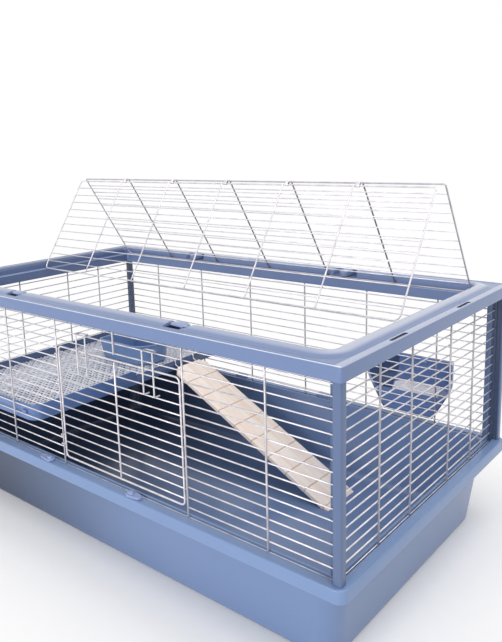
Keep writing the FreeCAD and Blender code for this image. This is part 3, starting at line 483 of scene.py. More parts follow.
def welds(points, reach):
    """Small ellipsoids, four rings of six points each, where wires cross."""
    high = np.radians([-72, -28, 28, 72])[:, None]
    turn = np.linspace(0, 2 * np.pi, 6, endpoint=False)[None]
    bead = np.stack([np.cos(high) * np.cos(turn), np.cos(high) * np.sin(turn), np.sin(high) + 0 * turn], -1)
    points = np.asarray(points, float)[:, None, None] + bead[None] * np.asarray(reach, float)
    return points, tubes(len(points), *bead.shape[:2])


def stations(steps, back=(), left=(), front=(), right=()):
    """Places round a rectangle with round corners, anticlockwise, as factors a, b, c for X and for Y:
    coordinate = a * (half side - inset - corner radius) + b + c * corner radius."""
    parts = []
    for quarter, sx, sy, along in ((0, 1, 1, back), (1, -1, 1, left), (2, -1, -1, front), (3, 1, -1, right)):
        turn = (quarter + np.linspace(0, 1, steps + 1)) * np.pi / 2
        parts.append(np.stack([sx + 0 * turn, 0 * turn, np.cos(turn), sy + 0 * turn, 0 * turn, np.sin(turn)], -1))
        place = np.sort(np.asarray(along, float))[::1 if quarter > 1 else -1]
        none = 0 * place
        parts.append(np.stack([none, place, none, sy + none, none, sy + none] if quarter % 2 == 0 else
                              [sx + none, none, sx + none, none, place, none], -1))
    return np.concatenate(parts)


def moulding(profile, half_x, half_y, places, middle=(0, 0)):
    """Section carried round a rectangle: each point of the section has an inset, a height and a corner radius,
    with a second radius for the left corners where they differ."""
    inset, z, radius = (profile[:, i, None] for i in range(3))
    radius = np.where(places[:, 0] < 0, profile[:, -1, None], radius) if profile.shape[1] > 3 else radius
    x = places[:, 0] * (half_x - inset - radius) + places[:, 1] + places[:, 2] * radius + middle[0]
    y = places[:, 3] * (half_y - inset - radius) + places[:, 4] + places[:, 5] * radius + middle[1]
    return np.stack([x, y, z + 0 * x], -1)


def soft_block(low, high, edge):
    """Block with soft edges: a rounded rectangle drawn in at its foot and its head."""
    low, high = np.asarray(low, float), np.asarray(high, float)
    half, middle = (high - low) / 2, (high + low) / 2
    slight = 0.3 * edge
    section = np.array([(edge, low[2], edge), (slight, low[2] + slight, edge), (0, low[2] + edge, edge),
                        (0, high[2] - edge, edge), (slight, high[2] - slight, edge), (edge, high[2], edge)])
    return capped(moulding(section, half[0], half[1], stations(3), middle[:2]))


def piece(name, node, finish, parts, sharp=40.0, painted_shades=()):
    """Object in metres from parts in millimetres, each its points and its face lists; it stands for a CAD node.
    Painted shades, one for each part, are kept with the points for the zinc finish to darken wires by."""
    points, faces, base = [], [], 0
    for part_points, part_faces in parts:
        points.append(part_points.reshape(-1, 3) * mm)
        faces += [f + base for f in part_faces]
        base += len(points[-1])
    sizes = np.concatenate([np.full(len(f), f.shape[1]) for f in faces])
    mesh = bpy.data.meshes.new(name)
    mesh.vertices.add(base)
    mesh.vertices.foreach_set("co", np.concatenate(points).ravel())
    mesh.loops.add(int(sizes.sum()))
    mesh.loops.foreach_set("vertex_index", np.concatenate([f.ravel() for f in faces]))
    mesh.polygons.add(len(sizes))
    mesh.polygons.foreach_set("loop_start", np.cumsum(sizes) - sizes)
    mesh.update(calc_edges=True)
    mesh.validate()
    if painted_shades:
        values = np.repeat(np.array(painted_shades, float), [len(p) for p in points])
        mesh.attributes.new("painted_shade", "FLOAT", "POINT").data.foreach_set("value", values)
    outward(mesh, sharp)
    mesh.materials.append(finish)
    made = bpy.data.objects.new(name, mesh)
    bpy.context.scene.collection.objects.link(made)
    if node:
        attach(made, body_of[node])
        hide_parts(node)
    return made


def outward(mesh, sharp):
    """Turn all faces outwards, shade them smooth and keep the edges sharp that turn more than an angle."""
    work = bmesh.new()
    work.from_mesh(mesh)
    bmesh.ops.recalc_face_normals(work, faces=work.faces)
    work.to_mesh(mesh)
    work.free()
    mesh.polygons.foreach_set("use_smooth", np.ones(len(mesh.polygons), bool))
    mesh.set_sharp_from_angle(angle=math.radians(sharp))


# Tray


def tray():
    """Section of foot, drafted wall, rim with its skirt, groove for the wires, inside wall and floor, carried
    round a rectangle with round corners and closed flat below and above."""
    section = [(90, 0, 30, 1), (38, 0, 34, 9), (21.3, 139.8, 34, 0.6), (10.4, 139.8, 14, 0.6),
               (10.4, 147, 14, 0.6), (-1, 147, 11, 0.6), (-1, 130, 11, 0.6), (-4, 130, 14, 0.9),
               (-4, rim, 14, 2.6), (12.6, rim, 14, 0.8), (12.6, 142, 14, 0.5), (19.05, 142, 7.6, 0.5),
               (19.05, rim, 7.6, 0.7), (23, rim, 31, 1.6), (40.6, tray_floor, 31, 14), (90, tray_floor, 28, 1)]
    section = np.array(section)
    section = softened(section[:, :3], section[:, 3], 5, closed=False)
    along, across = np.linspace(-380, 380, 9), np.linspace(-160, 160, 5)
    return [capped(moulding(section, half_length, half_depth, stations(12, along, across, along, across)))]


# Top frame


def bead_rise(inset):
    """Height of the bead over its inset: half a cosine wave up to the crest, then a quarter ellipse down to the
    mouth."""
    up = (1 - np.cos(np.pi * (inset - bead_start) / (bead_crest - bead_start))) / 2
    down = np.sqrt(np.clip(1 - ((inset - bead_crest) / (bead_end - bead_crest)) ** 2, 0, 1))
    return np.where(inset < bead_crest, bead_foot + (bead_top - bead_foot) * up,
                    bead_mouth + (bead_top - bead_mouth) * down)


def top_frame():
    """Flange, ledge with a fine lip, bead, lid ledge and skirt carried round the cage; near each latch the bead is
    pressed down to a flat floor whose outer edge slants to a point on the right, and beside the front knobs the
    floor opens further outwards."""
    corner, shell = 59.0, 2.5
    flange = np.array([(0, 419.5, 5), (0, bead_foot, 5), (1.5, bead_foot, 4.5), (2.1, flange_z, 4),
                       (11.6, flange_z, 46), (12.4, flange_z + 0.1, 46)])
    flange = softened(flange, [0.4, 1.1, 0.4, 0.4, 0.5, 0.2], 3, closed=False)
    quarter = np.linspace(0, np.pi / 2, 12)[1:]
    inset = np.concatenate([np.linspace(bead_start, bead_crest, 18),
                            bead_crest + (bead_end - bead_crest) * np.sin(quarter)])
    bead = np.stack([inset, bead_rise(inset), corner - inset], -1)
    inner = np.array([(bead_end, bead_mouth - 0.2, 14), (bead_end, lid_ledge_z, 14), (53.5, lid_ledge_z, 5.5),
                      (53.5, 408, 5.5), (51, 408, 8), (51, lid_ledge_z - shell, 8),
                      (42.5, lid_ledge_z - shell, 16.5)])
    inner = softened(inner, 0.7, 3, closed=False)
    under = np.linspace(42.5, bead_start, 16)
    ceiling = np.maximum(bead_rise(np.minimum(under + 2.2, 44.9)) - shell, 430)
    under = np.stack([under, ceiling, corner - under], -1)
    hollow = np.array([(12.5, 437, 46.5), (2.5, 437, 3.8), (2.5, 419.5, 3.8)])
    hollow = softened(hollow, 0.6, 3, closed=False)
    section = np.concatenate([flange, bead, inner, under, hollow])
    near = np.concatenate([np.linspace(-31, -24, 10), np.linspace(-20, 7, 6), np.linspace(9, 31, 20)])
    spread = [-420, -340, -280, -120, -60, 0, 60, 120, 280, 340, 420]
    back, front = (np.concatenate([spread, near + latch_x(-1, sy), near + latch_x(1, sy)]) for sy in (1, -1))
    across = np.linspace(-200, 200, 9)
    points = moulding(section, half_length, half_depth, stations(14, back, across, front, across))
    x, z = points[..., 0], points[..., 2]
    depth = half_depth - np.abs(points[..., 1])
    upper_inner = 12
    upper = (np.arange(len(section)) < len(flange) + len(bead) + upper_inner)[:, None]
    for sx, sy in corners.values():
        past, here = x - latch_x(sx, sy), points[..., 1] * sy > 0
        narrowed = ease((past - 2) / 8) if sy < 0 else 1.0
        edge = recess_edge + recess_narrowing * narrowed + recess_slant * np.maximum(past - 10, 0)
        room, wall = (here * ease((depth - edge + more) / 1.4 + 0.5)
                      * ease((recess_half + more - np.abs(past)) / 1.2 + 0.5) for more in (0.0, shell))
        z = np.where(upper, z - room * np.maximum(z - latch_floor, 0),
                     z - wall * np.maximum(z - latch_floor + shell, 0))
    points[..., 2] = z
    rows, cols = points.shape[:2]
    return [(points, [quads(rows, cols, close_rows=True)])]


def end_slots():
    """Upright slots with round ends through the ledges of both end rails."""
    radius, straight = 3.0, (0, 20.5)
    turn = np.linspace(0, np.pi, 9)
    half = radius * np.stack([np.cos(turn), np.sin(turn)], -1)
    outline = np.concatenate([half + straight, -half - straight])
    below, above = 430.0, 446.0
    return [stacked(outline + (x, y), (below, above)) for x in (-493.5, 493.5) for y in (-127.4, 91.8)]


def cut_through(made, parts, sharp):
    """Take the cutter's shapes out of a piece and put the result in its mesh."""
    cutter = piece("slot_cutter", None, made.data.materials[0], parts)
    modifier = made.modifiers.new("slots", "BOOLEAN")
    modifier.object = cutter
    modifier.solver = "EXACT"
    bpy.context.view_layer.update()
    mesh = bpy.data.meshes.new_from_object(made.evaluated_get(bpy.context.evaluated_depsgraph_get()))
    made.modifiers.clear()
    made.data = mesh
    bpy.data.objects.remove(cutter)
    mesh.set_sharp_from_angle(angle=math.radians(sharp))


# Corner posts


def corner_post(sx, sy):
    """Section of a post, with its two wire slots, carried upright from the rim to the frame."""
    outline = softened([(2.8, 2.8), (15.2, 2.8), (15.2, 13.2), (20, 13.2), (20, 18.75), (28, 18.75), (28, 28),
                        (18.75, 28), (18.75, 20), (13.2, 20), (13.2, 15.2), (2.8, 15.2)],
                       [3.4, 1.2, 0.6, 0.6, 0.6, 0.8, 1.2, 0.8, 0.6, 0.6, 0.6, 1.2], 4)
    ring = np.stack([sx * (half_length - outline[:, 0]), sy * (half_depth - outline[:, 1])], -1)
    return [stacked(ring, (rim + 0.02, 200.0, 300.0, 400.0, post_head))]


# Wire walls


def long_wall(side):
    """Front or back wall: upright wires, level wires behind them and a weld at each crossing; the front one leaves
    the door's bay open."""
    y_up, y_level, y_weld = (side * (half_depth - inset) for inset in (upright_inset, level_inset, weld_inset))
    row, over_door = np.arange(len(levels)), 3
    none = np.zeros(len(uprights))
    feet = none + upright_foot
    open_bay = (row >= 4) & (row <= 16) & (side < 0)
    whole, split = levels[~open_bay], levels[open_bay]
    runs = [(-level_end_x, level_end_x, whole)]
    at = spots(uprights, [y_weld], levels)
    if side < 0:
        feet[over_door] = bay_head
        runs += [(-level_end_x, bay_left, split), (bay_right, level_end_x, split)]
        at = at[(at[:, 0] != uprights[over_door]) | (at[:, 2] > bay_head)]
    parts = [lines(np.stack([uprights, none + y_up, feet], -1),
                   np.stack([uprights, none + y_up, none + upright_head], -1), upright_radius, (0, 1, 0))]
    for x0, x1, z in runs:
        parts.append(lines(spots([x0], [y_level], z), spots([x1], [y_level], z), level_radius, (0, 0, 1)))
    parts.append(welds(at, (1.5, 0.7, 1.3)))
    return parts


def end_wall(side):
    """Left or right wall: upright wires, level wires inside them and a weld at each crossing."""
    x_up, x_level, x_weld = (side * (half_length - inset) for inset in (upright_inset, level_inset, weld_inset))
    feet, heads = (spots([x_up], end_uprights, [z]) for z in (upright_foot, upright_head))
    starts, ends = (spots([x_level], [y], levels) for y in (-level_end_y, level_end_y))
    return [lines(feet, heads, upright_radius, (0, 1, 0)), lines(starts, ends, level_radius, (0, 0, 1)),
            welds(spots([x_weld], end_uprights, levels), (0.7, 1.5, 1.3))]


# Door and its latches


def door():
    """Bent border wire, twelve level wires and a stile behind it, welded where they cross."""
    loop = [(door_left, door_y, door_foot), (door_right, door_y, door_foot), (door_right, door_y, door_head),
            (door_left, door_y, door_head)]
    stile, stile_gap = uprights[3], 3.05
    z = 356.5 - level_pitch * np.arange(12)
    starts, ends = (spots([x], [door_level_y], z) for x in (door_left, door_right))
    return [wires(softened(loop, 9.0, 6), upright_radius, (0, 1, 0), closed=True),
            lines(starts, ends, level_radius, (0, 0, 1)),
            lines([(stile, door_y, door_foot + stile_gap)], [(stile, door_y, door_head - stile_gap)],
                  upright_radius, (0, 1, 0)),
            welds(spots([door_left, stile, door_right], [door_weld_y], z), (1.5, 0.7, 1.3))]


def hinge_rings():
    """Rings of thin wire round the upright that carries the door."""
    reach = 3.45
    turn = np.linspace(0, 2 * np.pi, 20, endpoint=False)
    circle = np.stack([uprights[2] + reach * np.cos(turn), door_y + reach * np.sin(turn), 0 * turn], -1)
    rings = circle[None] + np.array([(0, 0, z) for z in (352.75, 336.25, 204.25, 187.75)])[:, None]
    return [wires(rings, 1.0, (0, 0, 1), 8, closed=True)]


def door_latch(left):
    """Hairpin: feet through the door, two legs in front of it and a bar over a wall wire."""
    right, low, high = left + 23.0, 326.15, 396.65
    front, back, foot = -270.85, -262.2, -259.7
    route = [(left, foot, low), (left, front, low), (left, front, high), (left, back, high),
             (right, back, high), (right, front, high), (right, front, low), (right, foot, low)]
    slanting = unit(np.array([0.6, 0.5, 0.62]))
    return [wires(softened(route, 2.6, 5, closed=False), 1.25, slanting)]


# Folding lid


def lid_half(start, corner_cut, side, shift, pivot):
    """Flat panel of border, cross wires and long wires, tilted about its pivot line: side is 1 for the back half,
    which rises from the frame, and -1 for the front half, which falls from the ridge."""
    level, rise = math.cos(lid_tilt), math.sin(lid_tilt)
    border, fine, cross_high, fine_high = 1.4, 0.95, 2.85, 0.45

    def place(points):
        """Points of the flat panel, along, down and above it, in the cage."""
        x, v, w = np.moveaxis(np.asarray(points, float), -1, 0)
        y, z = side * w * rise - v * level, side * v * rise + w * level
        return np.stack([x + shift, y, z], -1) + np.array(pivot)

    up = np.array([0, side * rise, level])
    end = lid_half_length - 1.5
    loop = [(-lid_half_length, start, 0), (lid_half_length, start, 0), (lid_half_length, lid_reach, 0),
            (-lid_half_length, lid_reach, 0)]
    rungs = start + np.arange(1, 12) * (lid_reach - start) / 12
    cross_ends = (place(spots(lid_cross, [v], [cross_high])) for v in (start, lid_reach))
    fine_ends = (place(spots([x], rungs, [fine_high])) for x in (-end, end))
    return [wires(place(softened(loop, corner_cut, 6)), border, up, closed=True),
            lines(*cross_ends, border, up), lines(*fine_ends, fine, up, 8),
            welds(place(spots(lid_cross, rungs, [1.4])), (1.3, 0.8, 0.8)),
            welds(place(spots(lid_cross, [start, lid_reach], [1.45])), (1.5, 0.9, 0.9))]


def lid_clips():
    """Pressed sleeves with soft edges round the two ridge wires: a stadium outline, drawn in at both ends."""
    level, rise = math.cos(lid_tilt), math.sin(lid_tilt)
    turn = np.linspace(0, np.pi, 9)
    rings = []
    for along, radius in ((-3.7, 1.62), (-4.0, 2.0), (-3.6, 2.48), (3.6, 2.48), (4.0, 2.0), (3.7, 1.62)):
        v = np.concatenate([-radius * np.sin(turn), lid_ridge_gap + radius * np.sin(turn)])
        w = np.concatenate([radius * np.cos(turn), -radius * np.cos(turn)])
        rings.append(np.stack([np.full_like(v, along), -v * level - w * rise, w * level - v * rise], -1))
    sleeve = np.stack(rings) + np.array(lid_ridge)
    faces = quads(*sleeve.shape[:2], close_rows=True)
    return [(sleeve + (x, 0, 0), [faces]) for x in lid_cross]


# Turn latches and tray latches


def knob_outline(hub, reach, tip):
    """Outline round a hub at the origin that narrows to a tip along +X."""
    lean = math.asin((hub - tip) / reach)
    back = np.linspace(math.pi / 2 - lean, 3 * math.pi / 2 + lean, 19)
    head = np.linspace(lean - math.pi / 2, math.pi / 2 - lean, 15)
    return np.concatenate([np.stack([hub * np.cos(back), hub * np.sin(back)], -1),
                           np.stack([reach + tip * np.cos(head), tip * np.sin(head)], -1)])


def domed(outline, middle, rows):
    """Outline drawn in towards a middle point, row by row, as (share, height)."""
    rows = np.array(rows)
    return stacked(middle + rows[:, 0, None, None] * (outline - middle), rows[:, 1])


def set_down(parts, turn, x, y):
    """Parts turned about Z and moved in plan."""
    c, s = round(math.cos(math.radians(turn)), 9), round(math.sin(math.radians(turn)), 9)
    way = np.array([(c, s, 0), (-s, c, 0), (0, 0, 1)])
    return [(points @ way + (x, y, 0), faces) for points, faces in parts]


def turn_knob():
    """Smooth oval dome with its pin below."""
    body = domed(knob_outline(10, 17, 8.5), (8, 0),
                 [(0.9, 431.3), (0.97, 432.0), (1.0, 433.5), (1.0, 437.5), (0.985, 439.5), (0.95, 441.2),
                  (0.88, 442.6), (0.76, 443.6), (0.55, 444.2), (0.3, 444.4)])
    pin = domed(knob_outline(3, 0.6, 2.99), (0, 0), [(1.0, 427.0), (1.0, 431.5)])
    return [body, pin]


def tray_clip():
    """Flat swivel plate with a round grip and its pin below."""
    plate = domed(knob_outline(8, 20, 6), (10, 0),
                  [(0.96, 150.3), (1.0, 150.8), (1.0, 153.2), (0.985, 153.9), (0.95, 154.3), (0.3, 154.3)])
    grip = domed(knob_outline(4, 4, 3.7), (2, 0),
                 [(1.12, 154.1), (1.0, 155.0), (1.0, 156.8), (0.9, 157.6), (0.6, 157.8)])
    pin = domed(knob_outline(3, 0.6, 2.99), (0, 0), [(1.0, 146.0), (1.0, 150.5)])
    return [plate, grip, pin]


# Platform


def platform_frame():
    """Wall and mesh ledge carried round the platform; on the right the wall's top drops to the gate's sill. A
    round bead runs along the sill, and lugs rest on the wall wires."""
    section = np.array([(0, 200.5, 22), (0, 231.5, 22), (3, 231.5, 19), (3, 213, 19), (12, 213, 10),
                        (12, 210, 10), (3, 210, 19), (3, 200.5, 19)])
    section = softened(section, [0.6, 1.3, 1.3, 0.6, 0.6, 0.6, 0.6, 0.6], 3)
    gate = np.concatenate([np.linspace(-13, -3, 13), np.linspace(30, 170, 5), np.linspace(203, 213, 13)])
    right, left, ends = np.concatenate([[-200, -130, -60], gate]), np.linspace(-200, 200, 5), (-80, 0, 80)
    points = moulding(section, platform_half_x, platform_half_y, stations(8, ends, left, ends, right),
                      (platform_x, 0.0))
    x, y, z = np.moveaxis(points, -1, 0)
    drop = gate_drop * ease((y - gate_start) / gate_run) * ease((gate_end - y) / gate_run) * (x > -174.0)
    points[..., 2] = np.where(z > platform_ledge, platform_ledge + (z - platform_ledge) * (1 - drop), z)
    rows, cols = points.shape[:2]
    parts = [(points, [quads(rows, cols, close_rows=True)]),
             lines([(sill_x, -8, sill_z)], [(sill_x, 208, sill_z)], 2.2, (0, 0, 1), 16)]
    for low, high in ((-266.2, -260.0), (260.0, 266.2)):
        for x in (-431.0, -305.0, -197.0):
            parts.append(soft_block((x - 6, low, 213.85), (x + 6, high, 220.8), 0.9))
    return parts


def deck_mesh():
    """Woven deck of flattened wires: every wire waves over and under those it crosses, a cosine, pressed together
    where they meet; the outermost wires are shorter."""
    def lay(count, half, shorter, steps, way):
        """Wires of one direction: places along and across the deck, and heights."""
        number = np.arange(count)
        short = np.where((number == 0) | (number == count - 1), shorter, 0.0)[:, None]
        along = np.linspace(-1, 1, steps)[None] * (half - short)
        across = np.broadcast_to(((number - count // 2) * deck_pitch)[:, None], along.shape)
        wave = np.cos(np.pi * along / deck_pitch) * (1 - 2 * (number % 2))[:, None]
        return along, across, deck_z + way * deck_wave * wave

    x_long, y_long, z_long = lay(51, 146.7, 4.1, 91, 1)
    y_wide, x_wide, z_wide = lay(29, 258.2, 5.4, 157, -1)
    return [wires(np.stack([platform_x + x, y, z], -1), 1.3, (0, 0, 1), 6, wide=1.8)
            for x, y, z in ((x_long, y_long, z_long), (x_wide, y_wide, z_wide))]


# Ramp


def ramp_board():
    """Board: a ring with soft edges carried down the slope, narrower at the clipped head, with V grooves across
    its upper face; its foot is cut level, just over the floor."""
    level, fall, half = math.cos(ramp_slope), math.sin(ramp_slope), ramp_half_width
    thick, clipped, landing = 4.0, 14.0, tray_floor + 0.3
    ring = softened([(-half, -thick), (half, -thick), (half, thick), (-half, thick)], 1.2, 3)
    grooves = ramp_groove_pitch * np.arange(1, 9)
    bite = np.array([-2.4, -1.6, -1.2, -0.4, 0.0, 0.4, 1.2, 1.6, 2.4])
    run = np.concatenate([[0, 0.6, 1.6, 4, 8, 12, 14, 16], (grooves[:, None] + bite).ravel(), [415.0, 425.0]])
    width = np.where(run < clipped, (half - clipped + run) / half, 1.0)
    cut = np.maximum(1.5 - np.abs(run[:, None] - grooves).min(1), 0)
    soft = np.interp(run, [0, 0.6, 1.6], [0.8, 0.93, 1.0])
    side, top = ring[None, :, 0], ring[None, :, 1]
    across = side * width[:, None]
    high = top * soft[:, None] - np.where(top > thick - 0.1, cut[:, None], 0)
    down = np.broadcast_to(run[:, None], across.shape)
    foot = (ramp_z - landing + top * level) / fall
    across, high, down = (np.concatenate(pair) for pair in ((across, side), (high, top), (down, foot)))
    x = ramp_x + down * level + high * fall
    z = ramp_z - down * fall + high * level
    return [capped(np.stack([x, ramp_y + across, z], -1))]


def ramp_hooks():
    """Hooks: a curl over the sill, a short shank and a tail into the board's end."""
    reach, spacing = 3.75, 29.0
    turn = np.radians(np.linspace(165, 0, 14))
    curl = np.stack([sill_x + reach * np.cos(turn), 0 * turn, sill_z + reach * np.sin(turn)], -1)
    tail = np.array([(sill_x + reach, 0, 213.89), (ramp_x, 0, ramp_z), (-145.1, 0, 202.1)])
    shank = softened(np.concatenate([curl[-1:], tail]), 2.2, 4, closed=False)[1:]
    route = np.concatenate([curl, shank])
    pair = np.stack([route + (0, ramp_y + way * spacing, 0) for way in (-1, 1)])
    return [wires(pair, 1.25, (0, 1, 0))]


# Bowl and hay rack


def food_bowl():
    """Bowl section with a rolled lip carried round an outline that is square on the left and round on the
    right."""
    section = np.array([(45, 217.65, 6, 4), (7, 217.65, 42.3, 11.3), (2, 260.15, 46.8, 12.5),
                        (0, 260.15, 48.8, 14.5), (0, 262.65, 48.8, 14.5), (4.5, 262.65, 44.3, 10),
                        (9.5, 220.15, 39.8, 8.8), (45, 220.15, 6, 4)])
    section = softened(section, [1, 4, 0.6, 0.9, 1.1, 1.1, 5, 1], 5, closed=False)
    return [capped(moulding(section, bowl_half_x, bowl_half_y, stations(12), bowl_middle))]


def hay_rack():
    """Bucket: a U outline that narrows outwards and downwards, sides that fall to a lower flat outer wall, an even
    wall thickness, a lip and a bar towards the cage, and two hooks over a wall wire."""
    taper, lift, lean, fall, level_part = 38.0, 35.0, 40.0 / 70.0, 29.0, 5.0

    def outline(share, thick):
        """Open U at a share of the depth, drawn in by a thickness."""
        wide = rack_half_width - taper * share - thick
        low = rack_foot + lift * share + thick
        narrow = wide - (rack_knee - low) * lean
        high = rack_top - fall * np.clip((share * rack_depth - level_part) / (rack_depth - level_part), 0, 1)
        points = [(-wide, high), (-wide, rack_knee), (-narrow, low), (narrow, low), (wide, rack_knee),
                  (wide, high)]
        points = softened(points, [0, 16, 12, 12, 16, 0], 6, closed=False)
        y = np.full(len(points), rack_y + share * rack_depth)
        return np.column_stack([rack_x + points[:, 0], y, points[:, 1]])

    def band(a, b):
        """Squares between two lines of point numbers."""
        return np.stack([a[:-1], a[1:], b[1:], b[:-1]], -1)

    shares = np.array([0.0, 0.015, 0.0735, 0.3, 0.6, 0.85, 0.94, 0.985, 1.0])
    draw = np.array([0.5, 0.0, 0.0, 0.0, 0.0, 0.0, 0.25, 1.2, 3.2])
    deepest = 1 - rack_wall / rack_depth
    outer = np.stack([outline(s, d) for s, d in zip(shares, draw)])
    inner = np.stack([outline(min(s, deepest), rack_wall + d) for s, d in zip(shares, draw * 0.8)])
    rows, cols = outer.shape[:2]
    count, half = rows * cols, cols // 2
    number = np.arange(count).reshape(rows, cols)
    back = band(number[-1, :half], number[-1, ::-1][:half])
    side = quads(rows, cols, False, False)
    rims = [band(line, line + count) for line in (number[0], number[:, 0], number[:, -1])]
    top = number[-1, [0, -1]]
    rims.append(np.concatenate([top, top[::-1] + count])[None])
    faces = np.concatenate([side, side + count, back, back + count] + rims)
    parts = [(np.concatenate([outer.reshape(-1, 3), inner.reshape(-1, 3)]), [faces])]
    parts.append(soft_block((rack_x - 89.8, rack_y + 0.2, 277.4), (rack_x + 89.8, rack_y + 2.5, 282.3), 0.8))
    lip = softened([(-51.0, 159.2), (51.0, 159.2), (76.6, 204.0), (-76.6, 204.0)], [0, 0, 4, 4], 4)
    lip = [np.column_stack([rack_x + lip[:, 0], np.full(len(lip), rack_y + y), lip[:, 1]]) for y in (0.0, 2.4)]
    parts.append(capped(np.stack(lip)))
    for x in (rack_x - 35.0, rack_x + 35.0):
        parts.append(soft_block((x - 6, 261.3, 279.95), (x + 6, rack_y + 2.3, 282.35), 0.8))
        parts.append(soft_block((x - 6, 261.25, 273.95), (x + 6, 263.7, 282.38), 0.8))
    return parts


# All pieces

moulded = moulded_effect()
frame_blue = frame_plastic(moulded)
post_blue = post_plastic(moulded)
tray_blue = tray_plastic(moulded)
knob_blue = knob_plastic(moulded)
platform_blue = platform_plastic(moulded)
rack_blue = rack_plastic(moulded)
bowl_blue = bowl_plastic(moulded)
zinc_wire = zinc("bright_zinc_wire", "c6c3c9", "efecee")
deck_zinc = zinc("deck_zinc_wire", "bcc0cc", "dcdfe7")
ramp_wood = pale_wood()

# Angles above which an edge stays sharp
moulding_sharp, knob_sharp, wire_sharp = 35.0, 50.0, 55.0

piece("tray_moulding", "base_tray", tray_blue, tray(), moulding_sharp)
frame_moulding = piece("top_frame_moulding", "top_frame", frame_blue, top_frame(), moulding_sharp)
cut_through(frame_moulding, end_slots(), moulding_sharp)
for corner, (sx, sy) in corners.items():
    piece("post_moulding_" + corner, "corner_post_" + corner, post_blue, corner_post(sx, sy))
    knob = set_down(turn_knob(), 180.0 if sy < 0 else 270.0, latch_x(sx, sy), sy * (half_depth - latch_inset))
    piece("turn_knob_" + corner, "turn_latch_" + corner, knob_blue, knob, knob_sharp)
    swivel = set_down(tray_clip(), 180.0 if sx < 0 else 0.0, sx * clip_spread, sy * (half_depth - clip_inset))
    piece("tray_swivel_" + corner, "tray_latch_" + corner, knob_blue, swivel, knob_sharp)
# The last item of each row gives each part's painted shade, darker grey on wires that lie in shade.
for name, node, parts, painted_shades in (
        ("front_wall_wires", "front_wire_wall", long_wall(-1), (0.2, 0.0, 0.0, 0.0, 0.0)),
        ("rear_wall_wires", "rear_wire_wall", long_wall(1), (0.5, 0.0, 0.0)),
        ("left_wall_wires", "left_wire_wall", end_wall(-1), (0.5, 0.0, 0.0)),
        ("right_wall_wires", "right_wire_wall", end_wall(1), (0.4, 0.0, 0.0)),
        ("door_wires", "front_door", door(), ()),
        ("door_ring_wires", "door_hinge_rings", hinge_rings(), ()),
        ("door_latch_left_wire", "door_latch_left", door_latch(-14.5), ()),
        ("door_latch_right_wire", "door_latch_right", door_latch(144.5), ()),
        ("lid_rear_wires", "lid_rear_panel", lid_half(0.0, (12, 12, 4, 4), 1, lid_shift, lid_heel),
         (0.4, 0.85, 0.0, 0.0, 0.3)),
        ("lid_front_wires", "lid_front_panel",
         lid_half(lid_ridge_gap, (4, 4, 12, 12), -1, -lid_shift, lid_ridge), ())):
    piece(name, node, zinc_wire, parts, wire_sharp, painted_shades)
piece("lid_clip_sleeves", "lid_clips", zinc_wire, lid_clips(), knob_sharp)
piece("platform_moulding", "platform_frame", platform_blue, platform_frame(), moulding_sharp)
piece("deck_weave", "platform_mesh", deck_zinc, deck_mesh(), 80.0)
piece("ramp_wood_board", "ramp_board", ramp_wood, ramp_board(), 25.0)
piece("ramp_hook_wires", "ramp_hooks", zinc_wire, ramp_hooks(), wire_sharp)
piece("bowl_moulding", "food_bowl", bowl_blue, food_bowl())
piece("rack_moulding", "hay_rack", rack_blue, hay_rack(), 32.0)

# Camera and studio


def photo_camera():
    """Camera at the photograph's viewpoint: a yaw, a pitch and a small roll about the line of sight."""
    yaw, pitch, roll = math.radians(40.36), math.radians(11.2), math.radians(-1.77)
    ahead = Vector((-math.sin(yaw) * math.cos(pitch), math.cos(yaw) * math.cos(pitch), -math.sin(pitch)))
    level = Vector((math.cos(yaw), math.sin(yaw), 0))
    above = level.cross(ahead)
    right = level * math.cos(roll) + above * math.sin(roll)
    up = above * math.cos(roll) - level * math.sin(roll)
    data = bpy.data.cameras.new("photo_camera")
    camera = bpy.data.objects.new("photo_camera", data)
    bpy.context.scene.collection.objects.link(camera)
    spot = Vector((0.9027, -0.9497, 0.6978))
    camera.matrix_world = Matrix.Translation(spot) @ Matrix((right, up, -ahead)).transposed().to_4x4()
    wide, tall, focal, middle = 502, 642, 696.0, (231.0, 281.2)
    data.sensor_width = 36
    data.lens = focal * data.sensor_width / tall
    data.shift_x = (wide / 2 - middle[0]) / tall
    data.shift_y = (middle[1] - tall / 2) / tall
    data.clip_start = 0.01
    bpy.context.scene.camera = camera


def seen_mask(tree):
    """1 for rays from the camera, from a reflection or through a clear surface, and 0 for all others."""
    path = tree.nodes.new("ShaderNodeLightPath").outputs
    seen = maths(tree, "MAXIMUM", path["Is Camera Ray"], path["Is Glossy Ray"])
    return maths(tree, "MAXIMUM", seen, path["Is Transmission Ray"])


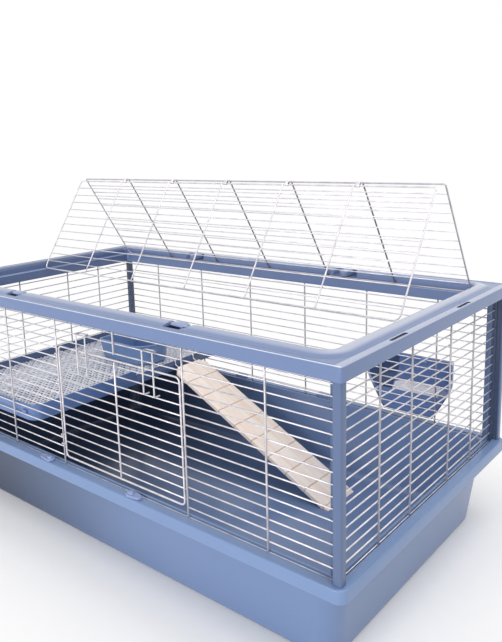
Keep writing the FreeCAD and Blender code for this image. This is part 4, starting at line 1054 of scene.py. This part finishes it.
def studio():
    """Pale floor that fades to white away from the cage, a white surround and soft lamps."""
    reach, below = 6.0, -0.0005
    ends = ((-1, -1), (1, -1), (1, 1), (-1, 1))
    mesh = bpy.data.meshes.new("studio_floor")
    mesh.from_pydata([(reach * x, reach * y, below) for x, y in ends], [], [(0, 1, 2, 3)])
    floor = bpy.data.objects.new("studio_floor", mesh)
    bpy.context.scene.collection.objects.link(floor)
    material, tree, bsdf, place = shader("pale_floor")
    pale = ramp(tree, noise(tree, place, 40.0, 3.0), 0.0, 1.0, 0.86, 0.9, "LINEAR")
    tree.links.new(pale, bsdf.inputs["Base Color"])
    bsdf.inputs["Roughness"].default_value = 0.9
    bsdf.inputs["Specular IOR Level"].default_value = 0.1
    x, y, _ = coordinates(tree, place)
    fade = ramp(tree, beyond(tree, x, y, 460.0, 245.0), -100.0, 400.0)
    share = product(tree, seen_mask(tree), fade)
    white = add(tree, "ShaderNodeEmission", {"Color": (1, 1, 1, 1), "Strength": 1.0})
    mixed = add(tree, "ShaderNodeMixShader", {0: share, 1: bsdf.outputs[0], 2: white.outputs[0]})
    tree.links.new(mixed.outputs[0], tree.nodes["Material Output"].inputs["Surface"])
    mesh.materials.append(material)

    world = bpy.data.worlds.new("white_studio")
    bpy.context.scene.world = world
    world.use_nodes = True
    tree = world.node_tree
    soft = add(tree, "ShaderNodeBackground", {"Color": (0.96, 0.98, 1.0, 1), "Strength": 0.6})
    white = add(tree, "ShaderNodeBackground", {"Color": (1, 1, 1, 1), "Strength": 1.0})
    mixed = add(tree, "ShaderNodeMixShader", {0: seen_mask(tree), 1: soft.outputs[0], 2: white.outputs[0]})
    tree.links.new(mixed.outputs[0], tree.nodes["World Output"].inputs["Surface"])

    for name, spot, size, power in (("front_lamp", (0.3, -3.1, 0.95), 2.0, 56.0),
                                    ("top_lamp", (1.3, 0.2, 3.0), 2.5, 46.0)):
        data = bpy.data.lights.new(name, "AREA")
        data.size = size
        data.energy = power
        data.color = (1.0, 0.96, 0.975)
        lamp = bpy.data.objects.new(name, data)
        lamp.location = spot
        lamp.rotation_mode = "QUATERNION"
        lamp.rotation_quaternion = (Vector((0, 0, 0.3)) - Vector(spot)).to_track_quat("-Z", "Y")
        bpy.context.scene.collection.objects.link(lamp)


photo_camera()
studio()
bpy.context.scene.view_settings.view_transform = "Standard"
bpy.context.view_layer.update()
